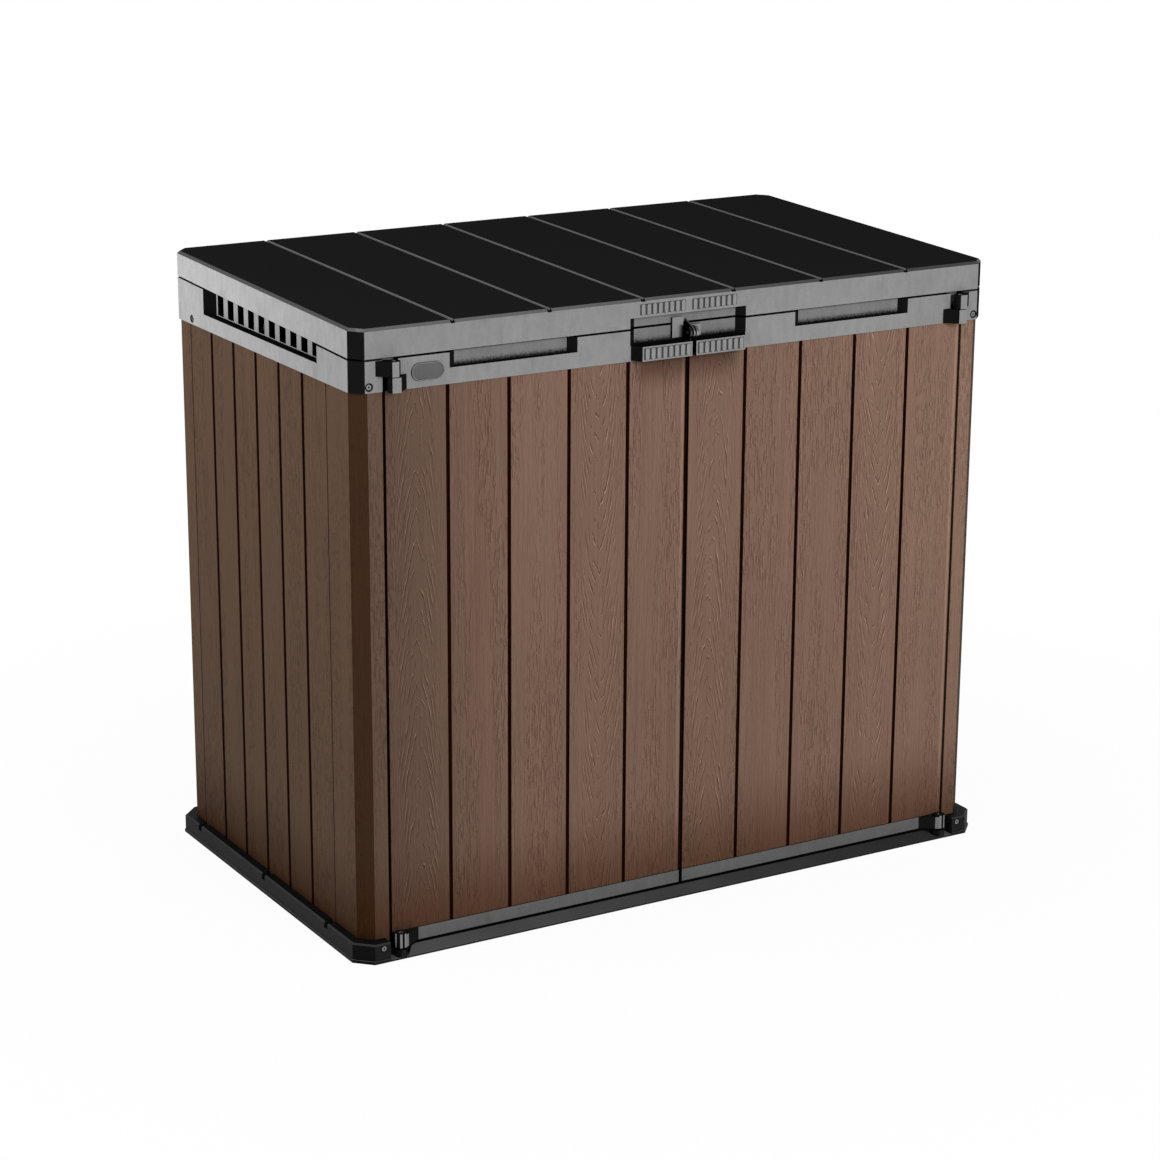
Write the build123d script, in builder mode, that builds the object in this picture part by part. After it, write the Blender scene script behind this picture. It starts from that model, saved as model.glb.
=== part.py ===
"""Deck storage box with two front doors and a lifting lid.

Millimetres. X is the width, the front looks towards -Y, Z is up.
The origin is on the ground, under the middle of the box.
"""
import os
from math import asin, atan2, cos, degrees, hypot, radians, sin

from build123d import *

# Outer sizes
WIDTH = 1410.0            # lid and collar
DEPTH = 802.0
HEIGHT = 1229.0           # back edge of the lid
CORNER = 23.0             # corner flat of lid and collar
COLLAR_H = 58.0           # collar at the front
FALL = 26.0               # fall of the parting line from back to front
LID_FALL = 20.0           # fall of the lid's top
LID_SKIRT = 50.0
LID_BEVEL = 5.0
LID_GAP = 4.0             # parting line between collar and lid

# Base tray
RIM_SIDE = 20.5           # rim outside the side panels
RIM_END = 26.5            # rim outside the back panels, ramp before the doors
RIM_H = 39.0
RIM_BEVEL = 3.0
BASE_CORNER = 32.0
FOOT_H = 6.0              # foot strip under the rim
FOOT_STEP = 1.5
FLOOR_T = 16.0
FLOOR_SKIN_T = 4.5
FLOOR_COLUMNS = 9
FLOOR_ROWS = 4
FLOOR_FRONT_BORDER = 10.0
GROUND_PAD = 120.0        # flat pad under the middle
RAMP_TOE = 3.0
BLOCK_IN = 10.0           # front corner block, outside the post's inner edge
WELL_ROOT = 29.0          # flat well in the ramp: door pin to its end at the door
WELL_TOE = 10.0           # and at the toe
NOTCHES_Y = (316.0, 6.0, -277.0)
NOTCH_W = 14.0
NOTCH_D = 12.0

# Walls, posts and collar
WOOD_INSET = 2.5          # plank faces behind the collar faces
WALL_T = 28.0
SKIN_T = 3.5
RIB_T = 4.0
GROOVE_RIB = 10.0         # ribs behind the plank grooves
COLLAR_T = 37.0
POST_W = 55.5             # front face of a post
POST_CORNER = 26.0
FRONT_POST_D = 114.0      # side face of a front post
REAR_POST_D = 71.5
JAMB_D = 43.0
SIDE_PLANKS = 6
PANEL_ROWS = 4
GROOVE_W = 8.0            # at the face; half as wide at the bottom
GROOVE_D = 3.0
BACK_CELLS = 10
BACK_CELL_H = 70.0

# Doors
DOOR_PLANKS = 5
DOOR_EDGE_GAP = 5.0       # door to post
DOOR_MID_GAP = 7.5        # door to door
DOOR_T = 34.0             # door rails
SILL_GAP = 3.0
BOTTOM_RAIL_H = 28.0

# Lid
LID_PLANKS = 7
LID_GROOVE_W = 9.0
LID_GROOVE_D = 3.5
LID_SKIN_T = 5.0
LID_BORDER = 12.0
LID_FRONT_BORDER = 20.0
LID_ROWS = 4

# Grips
LEDGE_H = 30.0            # ledge of recesses and vents over the collar's underside
RECESS_D = 13.0
RECESS_SPLAY = 16.0       # slope of the recess ends
FINGER_W = 268.0
FINGER_END = 104.5        # finger recess to hinge pocket
GRIP_HALF = 129.0
GRIP_RISE = 19.5          # grip notch in the lid
HANDLE_H = 28.0
HANDLE_REACH = 23.5
HANDLE_SLOPE = 13.0       # slant of the outer end
HANDLE_END_GAP = 1.5      # inside the recess ends
HANDLE_MID_GAP = 0.75     # behind the door's free edge
GRIP_RIBS = 8             # on each handle, and on each half of the lid's grip
GRIP_RIB_RISE = 2.0
GRIP_RIB_GAP = 4.5
GRIP_RIB_CORNER = 2.5
HANDLE_MARGIN = 3.0       # handle edges to the ribs
LID_RIB_IN = 7.0
LID_RIB_END = 21.0        # inside the recess ends
LID_RIB_UP = 4.5          # above the notch
LID_RIB_H = 20.5
BADGE_END = 45.0          # bare plate, from the finger recess to its middle
BADGE_W = 67.0
BADGE_H = 33.0
BADGE_T = 2.0

# Lock eyes
EYE_T = 5.0
LID_EYE_T = 3.0
EYE_GAP = 3.0
EYE_R = 11.0
EYE_HOLE_R = 4.5
EYE_OUT = 11.0            # hole before the front face
EYE_FOOT = 4.0            # above the ledge
EYE_ROOT_H = 5.0          # root of the lid's eye on its recess wall
EYE_ROOT_UP = 1.0
EYE_ROOT_T = 1.0
TAB_W = 27.5
TAB_T = 6.0
TAB_IN = 3.5              # left tab's raised end, from the eye
TAB_RISE = 17.0           # and over the eye
TAB_PLAY = 2.0            # between it and the lid

# Side vents
VENT_FRONT = 149.0        # recess to the front of the collar
VENT_BACK = 146.0
VENT_D = 19.5
VENT_WALL = 6.0
VENTS = 10
VENT_W = 27.5
VENT_PITCH = 47.0
VENT_END = 6.0            # back end of the recess to the first slot
VENT_BAR = 5.0            # bar over the slots
VENT_SILL = 1.5           # and under them

# Door hinges
PIN_R = 4.0
PIN_PLAY = 0.3
KNUCKLE_R = 12.0
KNUCKLE_FLAT = 9.0        # flat front, either side of the pin
DOOR_AXIS_IN = 17.0       # pin inside the post's edge
FIXED_ROOT = 14.0         # root of the fixed web on the corner cap
DOOR_ROOT = 31.5          # pin to the root of the door's web
POCKET_W = 14.5           # pin to the edge of the hinge pocket
POCKET_D = 16.0
KNUCKLE_GAP = 1.5
KNUCKLE_END = 0.5
ROOT_D = 6.0              # webs reach this far into their rails
LOW_KNUCKLE_H = 31.0
LOW_ROOT_W = 12.0

# Lid hinges
LID_KNUCKLE_R = 9.0
LID_AXIS_DROP = 4.0       # pin below the back of the collar
LID_HINGE_IN = 177.0      # middle of a hinge, inside the rear posts
LID_KNUCKLE_W = 48.0
RAIL_KNUCKLE_W = 20.0
KNUCKLE_SIDE_GAP = 1.0
EAR_H = 34.0              # root of the rail ears, below the pin
ARM_Z0 = 12.0             # root of the lid arms, above the pin
ARM_H = 24.0
ARM_ROOT_D = 2.0

# Lid struts
STRUT_IN = 22.5           # strut inside the side panels
STRUT_ARM = 350.0         # lid pin to either end of a strut
STRUT_FOLD = 65.0         # angle between the arms with the lid shut
STRUT_DROP = 20.0         # upper end below the lid pin
TUBE_R = 10.0
TUBE_BORE_R = 8.0
TUBE_START = 17.0
TUBE_END = 5.0
ROD_SHOWN = 39.0          # tube mouth to the upper end, lid shut
ROD_STOP = 5.0            # left at the tube's bottom, lid shut
ROD_R = 4.5
EYE_DISC_R = 10.0
EYE_DISC_T = 8.0
EYE_NECK_R = 3.4
EYE_NECK = 3.0
EYE_SIDE_GAP = 1.0
STUD_R = 4.0
STUD_HEAD_R = 6.5
STUD_HEAD_T = 2.5
STUD_SHOULDER_R = 7.0
PLATE_T = 4.0
PLATE_W = 44.0
PLATE_H = 60.0
LID_PLATE_W = 24.0
HANG_R = 9.0
HANG_W = 32.0
BOSS_MARGIN = 5.0         # moulded pads behind the bracket plates

# Screws and bumpers
SCREW_HEAD_R = 6.0
SCREW_HEAD_T = 3.0
SCREW_RECESS = 4.0
SCREW_SHANK_R = 2.5
SCREW_LENGTH = 20.0
SOCKET_R = 2.2
SOCKET_D = 1.5
COLLAR_SCREW_IN = 27.0    # outside the post's inner edge
COLLAR_SCREW_UP = 11.0
SIDE_SCREW_IN = 85.5      # from the back of the wall
BASE_SCREW_IN = 23.0
BASE_SCREW_DOWN = 11.0
BUMPER_L = 36.0
BUMPER_W = 8.0
BUMPER_PLAY = 0.2
BUMPER_INSET = 7.0

# Derived sizes
HALF_W = WIDTH / 2
HALF_D = DEPTH / 2
WOOD_X = HALF_W - WOOD_INSET
WOOD_Y = HALF_D - WOOD_INSET
WALL_X = WOOD_X - WALL_T
POST_X = WOOD_X - POST_W
BASE_X = WOOD_X + RIM_SIDE
BASE_Y = WOOD_Y + RIM_END
BLOCK_X = POST_X + BLOCK_IN
SEAM_FRONT = -WOOD_Y + FRONT_POST_D
SEAM_BACK = WOOD_Y - REAR_POST_D
LID_T = LID_SKIRT + LID_BEVEL
COLLAR_FRONT = HEIGHT - LID_FALL - LID_T - LID_GAP
COLLAR_BACK = COLLAR_FRONT + FALL
COLLAR_Z = COLLAR_FRONT - COLLAR_H
LEDGE_Z = COLLAR_Z + LEDGE_H
TILT = degrees(atan2(FALL, DEPTH))
TOP_TILT = degrees(atan2(LID_FALL, DEPTH))
DOOR_X0 = DOOR_MID_GAP / 2
DOOR_X1 = POST_X - DOOR_EDGE_GAP
DOOR_Z0 = FLOOR_T + SILL_GAP
PANEL_Z0 = DOOR_Z0 + BOTTOM_RAIL_H
DOOR_AXIS_X = POST_X - DOOR_AXIS_IN
DOOR_AXIS_Y = -HALF_D - KNUCKLE_R
POCKET_X = DOOR_AXIS_X - POCKET_W
DOOR_ROOT_X = DOOR_AXIS_X - DOOR_ROOT
KNUCKLE_H = (COLLAR_H - KNUCKLE_GAP) / 2 - KNUCKLE_END
LOW_KNUCKLE_Z = COLLAR_Z + KNUCKLE_END
UP_KNUCKLE_Z = LOW_KNUCKLE_Z + KNUCKLE_H + KNUCKLE_GAP
RECESS_Y = -HALF_D + RECESS_D
FINGER_OUT = POCKET_X - FINGER_END
FINGER_IN = FINGER_OUT - FINGER_W
GRIP_TOP = COLLAR_FRONT + LID_GAP + GRIP_RISE
HANDLE_Z = LEDGE_Z - HANDLE_H
HANDLE_IN = DOOR_X0 + HANDLE_MID_GAP
HANDLE_ROOT = GRIP_HALF - HANDLE_END_GAP
HANDLE_OUT = HANDLE_ROOT - HANDLE_SLOPE
HANDLE_FACE = GRIP_RIB_RISE - HALF_D - HANDLE_REACH
EYE_Y = -HALF_D - EYE_OUT
EYE_Z = LEDGE_Z + EYE_FOOT + EYE_R
EYE_X = LID_EYE_T / 2 + EYE_GAP
VENT_Y0 = -HALF_D + VENT_FRONT
VENT_Y1 = HALF_D - VENT_BACK
LID_AXIS_Y = HALF_D + LID_KNUCKLE_R + KNUCKLE_SIDE_GAP
LID_AXIS_Z = COLLAR_BACK - LID_AXIS_DROP
LID_HINGE_X = POST_X - LID_HINGE_IN
STRUT_X = WALL_X - STRUT_IN
DROP_ANGLE = degrees(asin(STRUT_DROP / STRUT_ARM))
LID_PIVOT_Y = LID_AXIS_Y - STRUT_ARM * cos(radians(DROP_ANGLE))
LID_PIVOT_Z = LID_AXIS_Z - STRUT_DROP
WALL_PIVOT_Y = LID_AXIS_Y - STRUT_ARM * cos(radians(DROP_ANGLE + STRUT_FOLD))
WALL_PIVOT_Z = LID_AXIS_Z - STRUT_ARM * sin(radians(DROP_ANGLE + STRUT_FOLD))
STRUT_LENGTH = hypot(LID_PIVOT_Y - WALL_PIVOT_Y, LID_PIVOT_Z - WALL_PIVOT_Z)
STRUT_DIR = (0, LID_PIVOT_Y - WALL_PIVOT_Y, LID_PIVOT_Z - WALL_PIVOT_Z)
TUBE_LENGTH = STRUT_LENGTH - TUBE_START - ROD_SHOWN
ROD_END = EYE_DISC_R + EYE_NECK
ROD_LENGTH = STRUT_LENGTH - ROD_END - TUBE_START - TUBE_END - ROD_STOP
CUT = 20.0                # cutters stand this far outside the faces they cut


def collar_top(y):
    """Height of the sloping parting line on the collar."""
    return COLLAR_FRONT + FALL * (y + HALF_D) / DEPTH


def lid_under(y):
    """Height of the lid's sloping underside."""
    return collar_top(y) + LID_GAP


def lid_top(y):
    """Height of the lid's sloping top."""
    return HEIGHT - LID_FALL * (HALF_D - y) / DEPTH


def octagon(half_x, half_y, corner):
    """Plan outline with four flat corners."""
    a, b = half_x - corner, half_y - corner
    return [(-a, -half_y), (a, -half_y), (half_x, -b), (half_x, b),
            (a, half_y), (-a, half_y), (-half_x, b), (-half_x, -b)]


def block(x, y, z, mode=Mode.ADD):
    """Box between pairs of limits."""
    with Locations((sum(x) / 2, sum(y) / 2, sum(z) / 2)):
        Box(abs(x[1] - x[0]), abs(y[1] - y[0]), abs(z[1] - z[0]), mode=mode)


def span(centre, size):
    """Limits of a size about its middle."""
    return centre - size / 2, centre + size / 2


def door_axis(s, z):
    """Level plane on the pin axis of the left (-1) or right (1) door."""
    return Plane((s * DOOR_AXIS_X, DOOR_AXIS_Y, z))


def front_root(s, x0, x1):
    """Strip behind the front face, from which a door knuckle's web grows."""
    return [(s * x0, -HALF_D), (s * x1, -HALF_D), (s * x1, -HALF_D + ROOT_D), (s * x0, -HALF_D + ROOT_D)]


def collar_screw_face(s):
    """Front of a corner cap, at its screw."""
    return spot(Plane.XZ.offset(HALF_D), s * (POST_X + COLLAR_SCREW_IN), COLLAR_Z + COLLAR_SCREW_UP)


def side_screw_face(s):
    """Outer side of a side collar, at its screw."""
    return spot(Plane.YZ.offset(s * HALF_W), WOOD_Y - SIDE_SCREW_IN, COLLAR_Z + COLLAR_SCREW_UP)


def base_screw_face(s):
    """Front of a base corner, at its screw."""
    return spot(Plane.XZ.offset(BASE_Y - FOOT_STEP), s * (POST_X + BASE_SCREW_IN), RIM_H - BASE_SCREW_DOWN)


def spot(plane, u, v):
    """The plane, moved to a point on itself."""
    return Plane(origin=plane.from_local_coords(Vector(u, v, 0)), x_dir=plane.x_dir, z_dir=plane.z_dir)


def prism(plane, points, amount, mode=Mode.ADD, both=False):
    """Straight-sided solid on a plane."""
    with BuildSketch(plane) as face:
        Polygon(*points, align=None)
    extrude(face.sketch, amount=amount, both=both, mode=mode)


def rod(plane, radius, amount, mode=Mode.ADD):
    """Round solid from the origin of a plane."""
    with BuildSketch(plane) as face:
        Circle(radius)
    extrude(face.sketch, amount=amount, mode=mode)


def screw_hole(face, inward):
    """Sunk seat and pilot hole of a screw."""
    rod(face, SCREW_HEAD_R, inward * SCREW_RECESS, Mode.SUBTRACT)
    rod(face, SCREW_SHANK_R, inward * (SCREW_RECESS + SCREW_LENGTH), Mode.SUBTRACT)


def web(plane, centre, radius, root, amount):
    """Knuckle barrel with the web that joins it to its root."""
    with BuildSketch(plane) as face:
        with Locations(centre):
            Circle(radius)
        Polygon(*root, align=None)
        make_hull()
    extrude(face.sketch, amount=amount)


def door_knuckle(s, z, root, inner, bore_r, amount):
    """Upright knuckle on a door axis, with a flat front, its web and pin bore."""
    web(Plane.XY.offset(z), (s * DOOR_AXIS_X, DOOR_AXIS_Y), KNUCKLE_R, root, amount)
    block((s * (DOOR_AXIS_X - inner), s * (DOOR_AXIS_X + KNUCKLE_FLAT)),
          (DOOR_AXIS_Y - KNUCKLE_R, DOOR_AXIS_Y), (z, z + amount))
    rod(door_axis(s, z), bore_r, amount, Mode.SUBTRACT)


def slope_cut(slope, above):
    """Remove what lies over or under a sloping plane, given as its height at each depth."""
    reach = HALF_D + 2 * CUT
    far = HEIGHT if above else -HEIGHT
    line = [(-reach, slope(-reach)), (reach, slope(reach))]
    top = [(reach, line[1][1] + far), (-reach, line[0][1] + far)]
    prism(Plane.YZ, line + top, WIDTH, Mode.SUBTRACT, both=True)


def cells(lo, hi, count, rib=RIB_T):
    """Centres and width of equal cells between two limits, a rib apart."""
    pitch = (hi - lo) / count
    return [lo + pitch * (i + 0.5) for i in range(count)], pitch - rib


def pockets(plane, u_limits, columns, z_limits, depth, rows=PANEL_ROWS):
    """Ribbed inside of a panel."""
    us, w = cells(*sorted(u_limits), columns, GROOVE_RIB)
    zs, h = cells(*z_limits, rows)
    with BuildSketch(plane) as face:
        with Locations(*[(u, z) for u in us for z in zs]):
            Rectangle(w, h)
    extrude(face.sketch, amount=depth, mode=Mode.SUBTRACT)


def grip_ribs(front, x_limits, z_limits):
    """Row of upright ribs with cut corners, raised on a face this far before the middle."""
    xs, w = cells(*sorted(x_limits), GRIP_RIBS, GRIP_RIB_GAP)
    with BuildSketch(Plane.XZ.offset(front)) as face:
        with Locations(*[(x, sum(z_limits) / 2) for x in xs]):
            Rectangle(w, z_limits[1] - z_limits[0])
        chamfer(face.vertices(), GRIP_RIB_CORNER)
    extrude(face.sketch, amount=GRIP_RIB_RISE)


def groove_profile(width, depth):
    """Tapered groove, half as wide at its bottom."""
    a, b = width / 2, width / 4
    return [(-a, -CUT), (-a, 0), (-b, depth), (b, depth), (a, 0), (a, -CUT)]


def groove(x, y, inward, z_limits):
    """Upright groove between two planks, cut the way of the inward vector."""
    up = Vector(0, 0, 1)
    foot = Plane(origin=(x, y, z_limits[0]), x_dir=Vector(*inward).cross(up), z_dir=up)
    prism(foot, groove_profile(GROOVE_W, GROOVE_D), z_limits[1] - z_limits[0], Mode.SUBTRACT)


def tilted(x, y, z, tilt):
    """Plane through a point, falling towards the front."""
    return Plane(origin=(x, y, z), x_dir=(1, 0, 0), z_dir=(0, -sin(radians(tilt)), cos(radians(tilt))))


def lid_seat(x, y):
    """Underside of the lid, at a point."""
    return tilted(x, y, lid_under(y), TILT)


def save(part, name):
    part.label = name
    export_step(part, f"parts/{name}.step")


os.makedirs("parts", exist_ok=True)

# Floor: plate with a ribbed underside, front ramp and the lower hinge bosses in their wells.
with BuildPart() as floor_panel:
    prism(Plane.XY, octagon(WOOD_X, WOOD_Y, POST_CORNER), FLOOR_T)
    ramp = [(-BASE_Y, 0), (-BASE_Y, RAMP_TOE), (-HALF_D, FLOOR_T), (-WOOD_Y, FLOOR_T), (-WOOD_Y, 0)]
    prism(Plane.YZ, ramp, BLOCK_X, both=True)
    for s in (-1, 1):
        prism(Plane.XY.offset(RAMP_TOE),
              [(s * BLOCK_X, -BASE_Y), (s * (DOOR_AXIS_X - WELL_TOE), -BASE_Y),
               (s * (DOOR_AXIS_X - WELL_ROOT), -HALF_D), (s * BLOCK_X, -HALF_D)], FLOOR_T, Mode.SUBTRACT)
        rod(door_axis(s, 0), KNUCKLE_R, DOOR_Z0 - KNUCKLE_GAP)
        rod(door_axis(s, RAMP_TOE), PIN_R, FLOOR_T, Mode.SUBTRACT)
    xs, w = cells(-WOOD_X, WOOD_X, FLOOR_COLUMNS)
    ys, d = cells(-WOOD_Y + FLOOR_FRONT_BORDER, WOOD_Y, FLOOR_ROWS)
    with BuildSketch(Plane.XY):
        with Locations(*[(x, y) for x in xs for y in ys]):
            Rectangle(w, d)
        Polygon(*octagon(WOOD_X - RIB_T, WOOD_Y - RIB_T, POST_CORNER), align=None, mode=Mode.INTERSECT)
        Rectangle(GROUND_PAD, GROUND_PAD, mode=Mode.SUBTRACT)
    extrude(amount=FLOOR_T - FLOOR_SKIN_T, mode=Mode.SUBTRACT)
save(floor_panel.part, "floor_panel")

# Base rim: two side sills that turn the corners, and the back sill between them.
for name, s, x_limits in (("left_base_sill", -1, (-BASE_X, -POST_X)),
                          ("right_base_sill", 1, (POST_X, BASE_X)),
                          ("back_base_sill", 0, (-POST_X, POST_X))):
    with BuildPart() as sill:
        prism(Plane.XY, octagon(BASE_X - FOOT_STEP, BASE_Y - FOOT_STEP, BASE_CORNER), RIM_H)
        chamfer(sill.faces().sort_by(Axis.Z)[-1].edges(), RIM_BEVEL)
        prism(Plane.XY, octagon(BASE_X, BASE_Y, BASE_CORNER), FOOT_H)
        prism(Plane.XY, octagon(WOOD_X, WOOD_Y, POST_CORNER), RIM_H, Mode.SUBTRACT)
        block((-BLOCK_X, BLOCK_X), (-BASE_Y, -WOOD_Y), (0, RIM_H), Mode.SUBTRACT)
        block(x_limits, (-BASE_Y, BASE_Y), (0, RIM_H), Mode.INTERSECT)
        if s:
            for y in NOTCHES_Y:
                block((s * WOOD_X, s * BASE_X), span(y, NOTCH_W), (RIM_H - NOTCH_D, RIM_H), Mode.SUBTRACT)
            screw_hole(base_screw_face(s), -1)
    save(sill.part, name)

# Side panels: planked outside, ribbed inside, a solid pad behind the strut bracket.
wall_z = (FLOOR_T, COLLAR_Z)
for side, s in (("left", -1), ("right", 1)):
    with BuildPart() as side_wall:
        block((s * WOOD_X, s * WALL_X), (SEAM_FRONT, SEAM_BACK), wall_z)
        pitch = (SEAM_BACK - SEAM_FRONT) / SIDE_PLANKS
        for i in range(1, SIDE_PLANKS):
            groove(s * WOOD_X, SEAM_FRONT + pitch * i, (-s, 0, 0), wall_z)
        pockets(Plane.YZ.offset(s * WALL_X), (SEAM_FRONT, SEAM_BACK), SIDE_PLANKS, wall_z,
                s * (WALL_T - SKIN_T))
        block((s * WALL_X, s * (WOOD_X - SKIN_T)), span(WALL_PIVOT_Y, PLATE_W + 2 * BOSS_MARGIN),
              span(WALL_PIVOT_Z, PLATE_H + 2 * BOSS_MARGIN))
    save(side_wall.part, f"{side}_wall")

# Corner posts: angle section with an outer corner flat.
for side, s in (("left", -1), ("right", 1)):
    with BuildPart() as front_post:
        prism(Plane.XY.offset(FLOOR_T),
              [(s * WOOD_X, SEAM_FRONT), (s * WOOD_X, -WOOD_Y + POST_CORNER),
               (s * (WOOD_X - POST_CORNER), -WOOD_Y), (s * POST_X, -WOOD_Y),
               (s * POST_X, -WOOD_Y + JAMB_D), (s * WALL_X, -WOOD_Y + JAMB_D),
               (s * WALL_X, SEAM_FRONT)], COLLAR_Z - FLOOR_T)
        pockets(Plane.YZ.offset(s * WALL_X), (-WOOD_Y + JAMB_D, SEAM_FRONT), 1, wall_z,
                s * (WALL_T - SKIN_T))
        pockets(Plane.XZ.offset(WOOD_Y - JAMB_D), (s * POST_X, s * WALL_X), 1, wall_z, JAMB_D - SKIN_T)
    save(front_post.part, f"front_{side}_post")

    with BuildPart() as rear_post:
        prism(Plane.XY.offset(FLOOR_T),
              [(s * WOOD_X, SEAM_BACK), (s * WOOD_X, WOOD_Y - POST_CORNER),
               (s * (WOOD_X - POST_CORNER), WOOD_Y), (s * POST_X, WOOD_Y),
               (s * POST_X, WOOD_Y - WALL_T), (s * WALL_X, WOOD_Y - WALL_T),
               (s * WALL_X, SEAM_BACK)], COLLAR_Z - FLOOR_T)
        pockets(Plane.XZ.offset(-WOOD_Y + WALL_T), (s * POST_X, s * WALL_X), 1, wall_z, SKIN_T - WALL_T)
    save(rear_post.part, f"rear_{side}_post")

# Back panels: two halves that meet in the middle.
for side, s in (("left", -1), ("right", 1)):
    with BuildPart() as back_wall:
        block((0, s * POST_X), (WOOD_Y - WALL_T, WOOD_Y), wall_z)
        for i in range(1, DOOR_PLANKS):
            groove(s * POST_X / DOOR_PLANKS * i, WOOD_Y, (0, -1, 0), wall_z)
        pockets(Plane.XZ.offset(-WOOD_Y + WALL_T), (0, s * POST_X), DOOR_PLANKS, wall_z, -(WALL_T - SKIN_T))
    save(back_wall.part, f"back_wall_{side}")

# Side collars: vent slots, corner caps and the fixed door knuckle.
for side, s in (("left", -1), ("right", 1)):
    with BuildPart() as side_rail:
        prism(Plane.XY.offset(COLLAR_Z),
              [(s * POST_X, -HALF_D), (s * (HALF_W - CORNER), -HALF_D),
               (s * HALF_W, -HALF_D + CORNER), (s * HALF_W, HALF_D - CORNER),
               (s * (HALF_W - CORNER), HALF_D), (s * POST_X, HALF_D),
               (s * POST_X, HALF_D - COLLAR_T), (s * (HALF_W - COLLAR_T), HALF_D - COLLAR_T),
               (s * (HALF_W - COLLAR_T), -HALF_D + JAMB_D), (s * POST_X, -HALF_D + JAMB_D)],
              HEIGHT - COLLAR_Z)
        prism(Plane.XY.offset(LEDGE_Z),
              [(s * (HALF_W + CUT), VENT_Y0 - CUT), (s * (HALF_W + CUT), VENT_Y1 + CUT),
               (s * HALF_W, VENT_Y1), (s * (HALF_W - VENT_D), VENT_Y1 - VENT_D),
               (s * (HALF_W - VENT_D), VENT_Y0 + VENT_D), (s * HALF_W, VENT_Y0)],
              HEIGHT - LEDGE_Z, Mode.SUBTRACT)
        slope_cut(collar_top, above=True)
        inner = s * (HALF_W - VENT_D - VENT_WALL)
        inside = s * (HALF_W - COLLAR_T - CUT)
        y0, y1 = VENT_Y0 + VENT_D, VENT_Y1 - VENT_D
        with BuildSketch(Plane.YZ.offset(inside)):
            Polygon((y0, LEDGE_Z), (y1, LEDGE_Z), (y1, collar_top(y1) - VENT_BAR),
                    (y0, collar_top(y0) - VENT_BAR), align=None)
        extrude(amount=inner - inside, mode=Mode.SUBTRACT)
        for i in range(VENTS):
            y = y1 - VENT_END - VENT_W / 2 - VENT_PITCH * i
            block((inside, s * HALF_W), span(y, VENT_W),
                  (LEDGE_Z + VENT_SILL, collar_top(y) - VENT_BAR), Mode.SUBTRACT)
        door_knuckle(s, UP_KNUCKLE_Z, front_root(s, POST_X + FIXED_ROOT, POST_X), 0, PIN_R, KNUCKLE_H)
        screw_hole(collar_screw_face(s), -1)
        screw_hole(side_screw_face(s), -s)
    save(side_rail.part, f"{side}_top_rail")

# Back collar with the fixed ears of the lid hinges.
with BuildPart() as back_rail:
    block((-POST_X, POST_X), (HALF_D - COLLAR_T, HALF_D), (COLLAR_Z, HEIGHT))
    slope_cut(collar_top, above=True)
    xs, w = cells(-POST_X, POST_X, BACK_CELLS)
    with BuildSketch(Plane.XZ.offset(-HALF_D + COLLAR_T)):
        with Locations(*[(x, COLLAR_Z + RIB_T + BACK_CELL_H / 2) for x in xs]):
            Rectangle(w, BACK_CELL_H)
    extrude(amount=-(COLLAR_T - VENT_WALL), mode=Mode.SUBTRACT)
    ear = [(HALF_D, LID_AXIS_Z - EAR_H), (HALF_D, LID_AXIS_Z),
           (HALF_D - ROOT_D, LID_AXIS_Z), (HALF_D - ROOT_D, LID_AXIS_Z - EAR_H)]
    for s in (-1, 1):
        for x in (s * LID_HINGE_X - LID_KNUCKLE_W / 2 - KNUCKLE_SIDE_GAP - RAIL_KNUCKLE_W,
                  s * LID_HINGE_X + LID_KNUCKLE_W / 2 + KNUCKLE_SIDE_GAP):
            web(Plane.YZ.offset(x), (LID_AXIS_Y, LID_AXIS_Z), LID_KNUCKLE_R, ear, RAIL_KNUCKLE_W)
            rod(spot(Plane.YZ.offset(x), LID_AXIS_Y, LID_AXIS_Z), PIN_R, RAIL_KNUCKLE_W, Mode.SUBTRACT)
save(back_rail.part, "back_top_rail")

# Hinge pins of the doors and of the lid.
for side, s in (("left", -1), ("right", 1)):
    with BuildPart() as upper_pin:
        rod(door_axis(s, LOW_KNUCKLE_Z + KNUCKLE_GAP), PIN_R, 2 * KNUCKLE_H)
    save(upper_pin.part, f"{side}_door_upper_pin")

    with BuildPart() as lower_pin:
        rod(door_axis(s, RAMP_TOE), PIN_R, DOOR_Z0 + LOW_KNUCKLE_H - KNUCKLE_GAP - RAMP_TOE)
    save(lower_pin.part, f"{side}_door_lower_pin")

    with BuildPart() as lid_pin:
        reach = LID_KNUCKLE_W + 2 * (KNUCKLE_SIDE_GAP + RAIL_KNUCKLE_W)
        rod(spot(Plane.YZ.offset(s * LID_HINGE_X - reach / 2), LID_AXIS_Y, LID_AXIS_Z), PIN_R, reach)
    save(lid_pin.part, f"{side}_lid_pin")

# Recessed screws of the collar and the base.
for side, s in (("left", -1), ("right", 1)):
    for name, face, inward in ((f"front_{side}_collar_screw", collar_screw_face(s), -1),
                               (f"side_{side}_collar_screw", side_screw_face(s), -s),
                               (f"{side}_base_screw", base_screw_face(s), -1)):
        with BuildPart() as screw:
            seat = face.offset(inward * SCREW_RECESS)
            rod(seat, SCREW_HEAD_R, -inward * SCREW_HEAD_T)
            rod(seat, SCREW_SHANK_R, inward * SCREW_LENGTH)
            with BuildSketch(seat.offset(-inward * SCREW_HEAD_T)):
                RegularPolygon(SOCKET_R, side_count=6)
            extrude(amount=inward * SOCKET_D, mode=Mode.SUBTRACT)
        save(screw.part, name)

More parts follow.
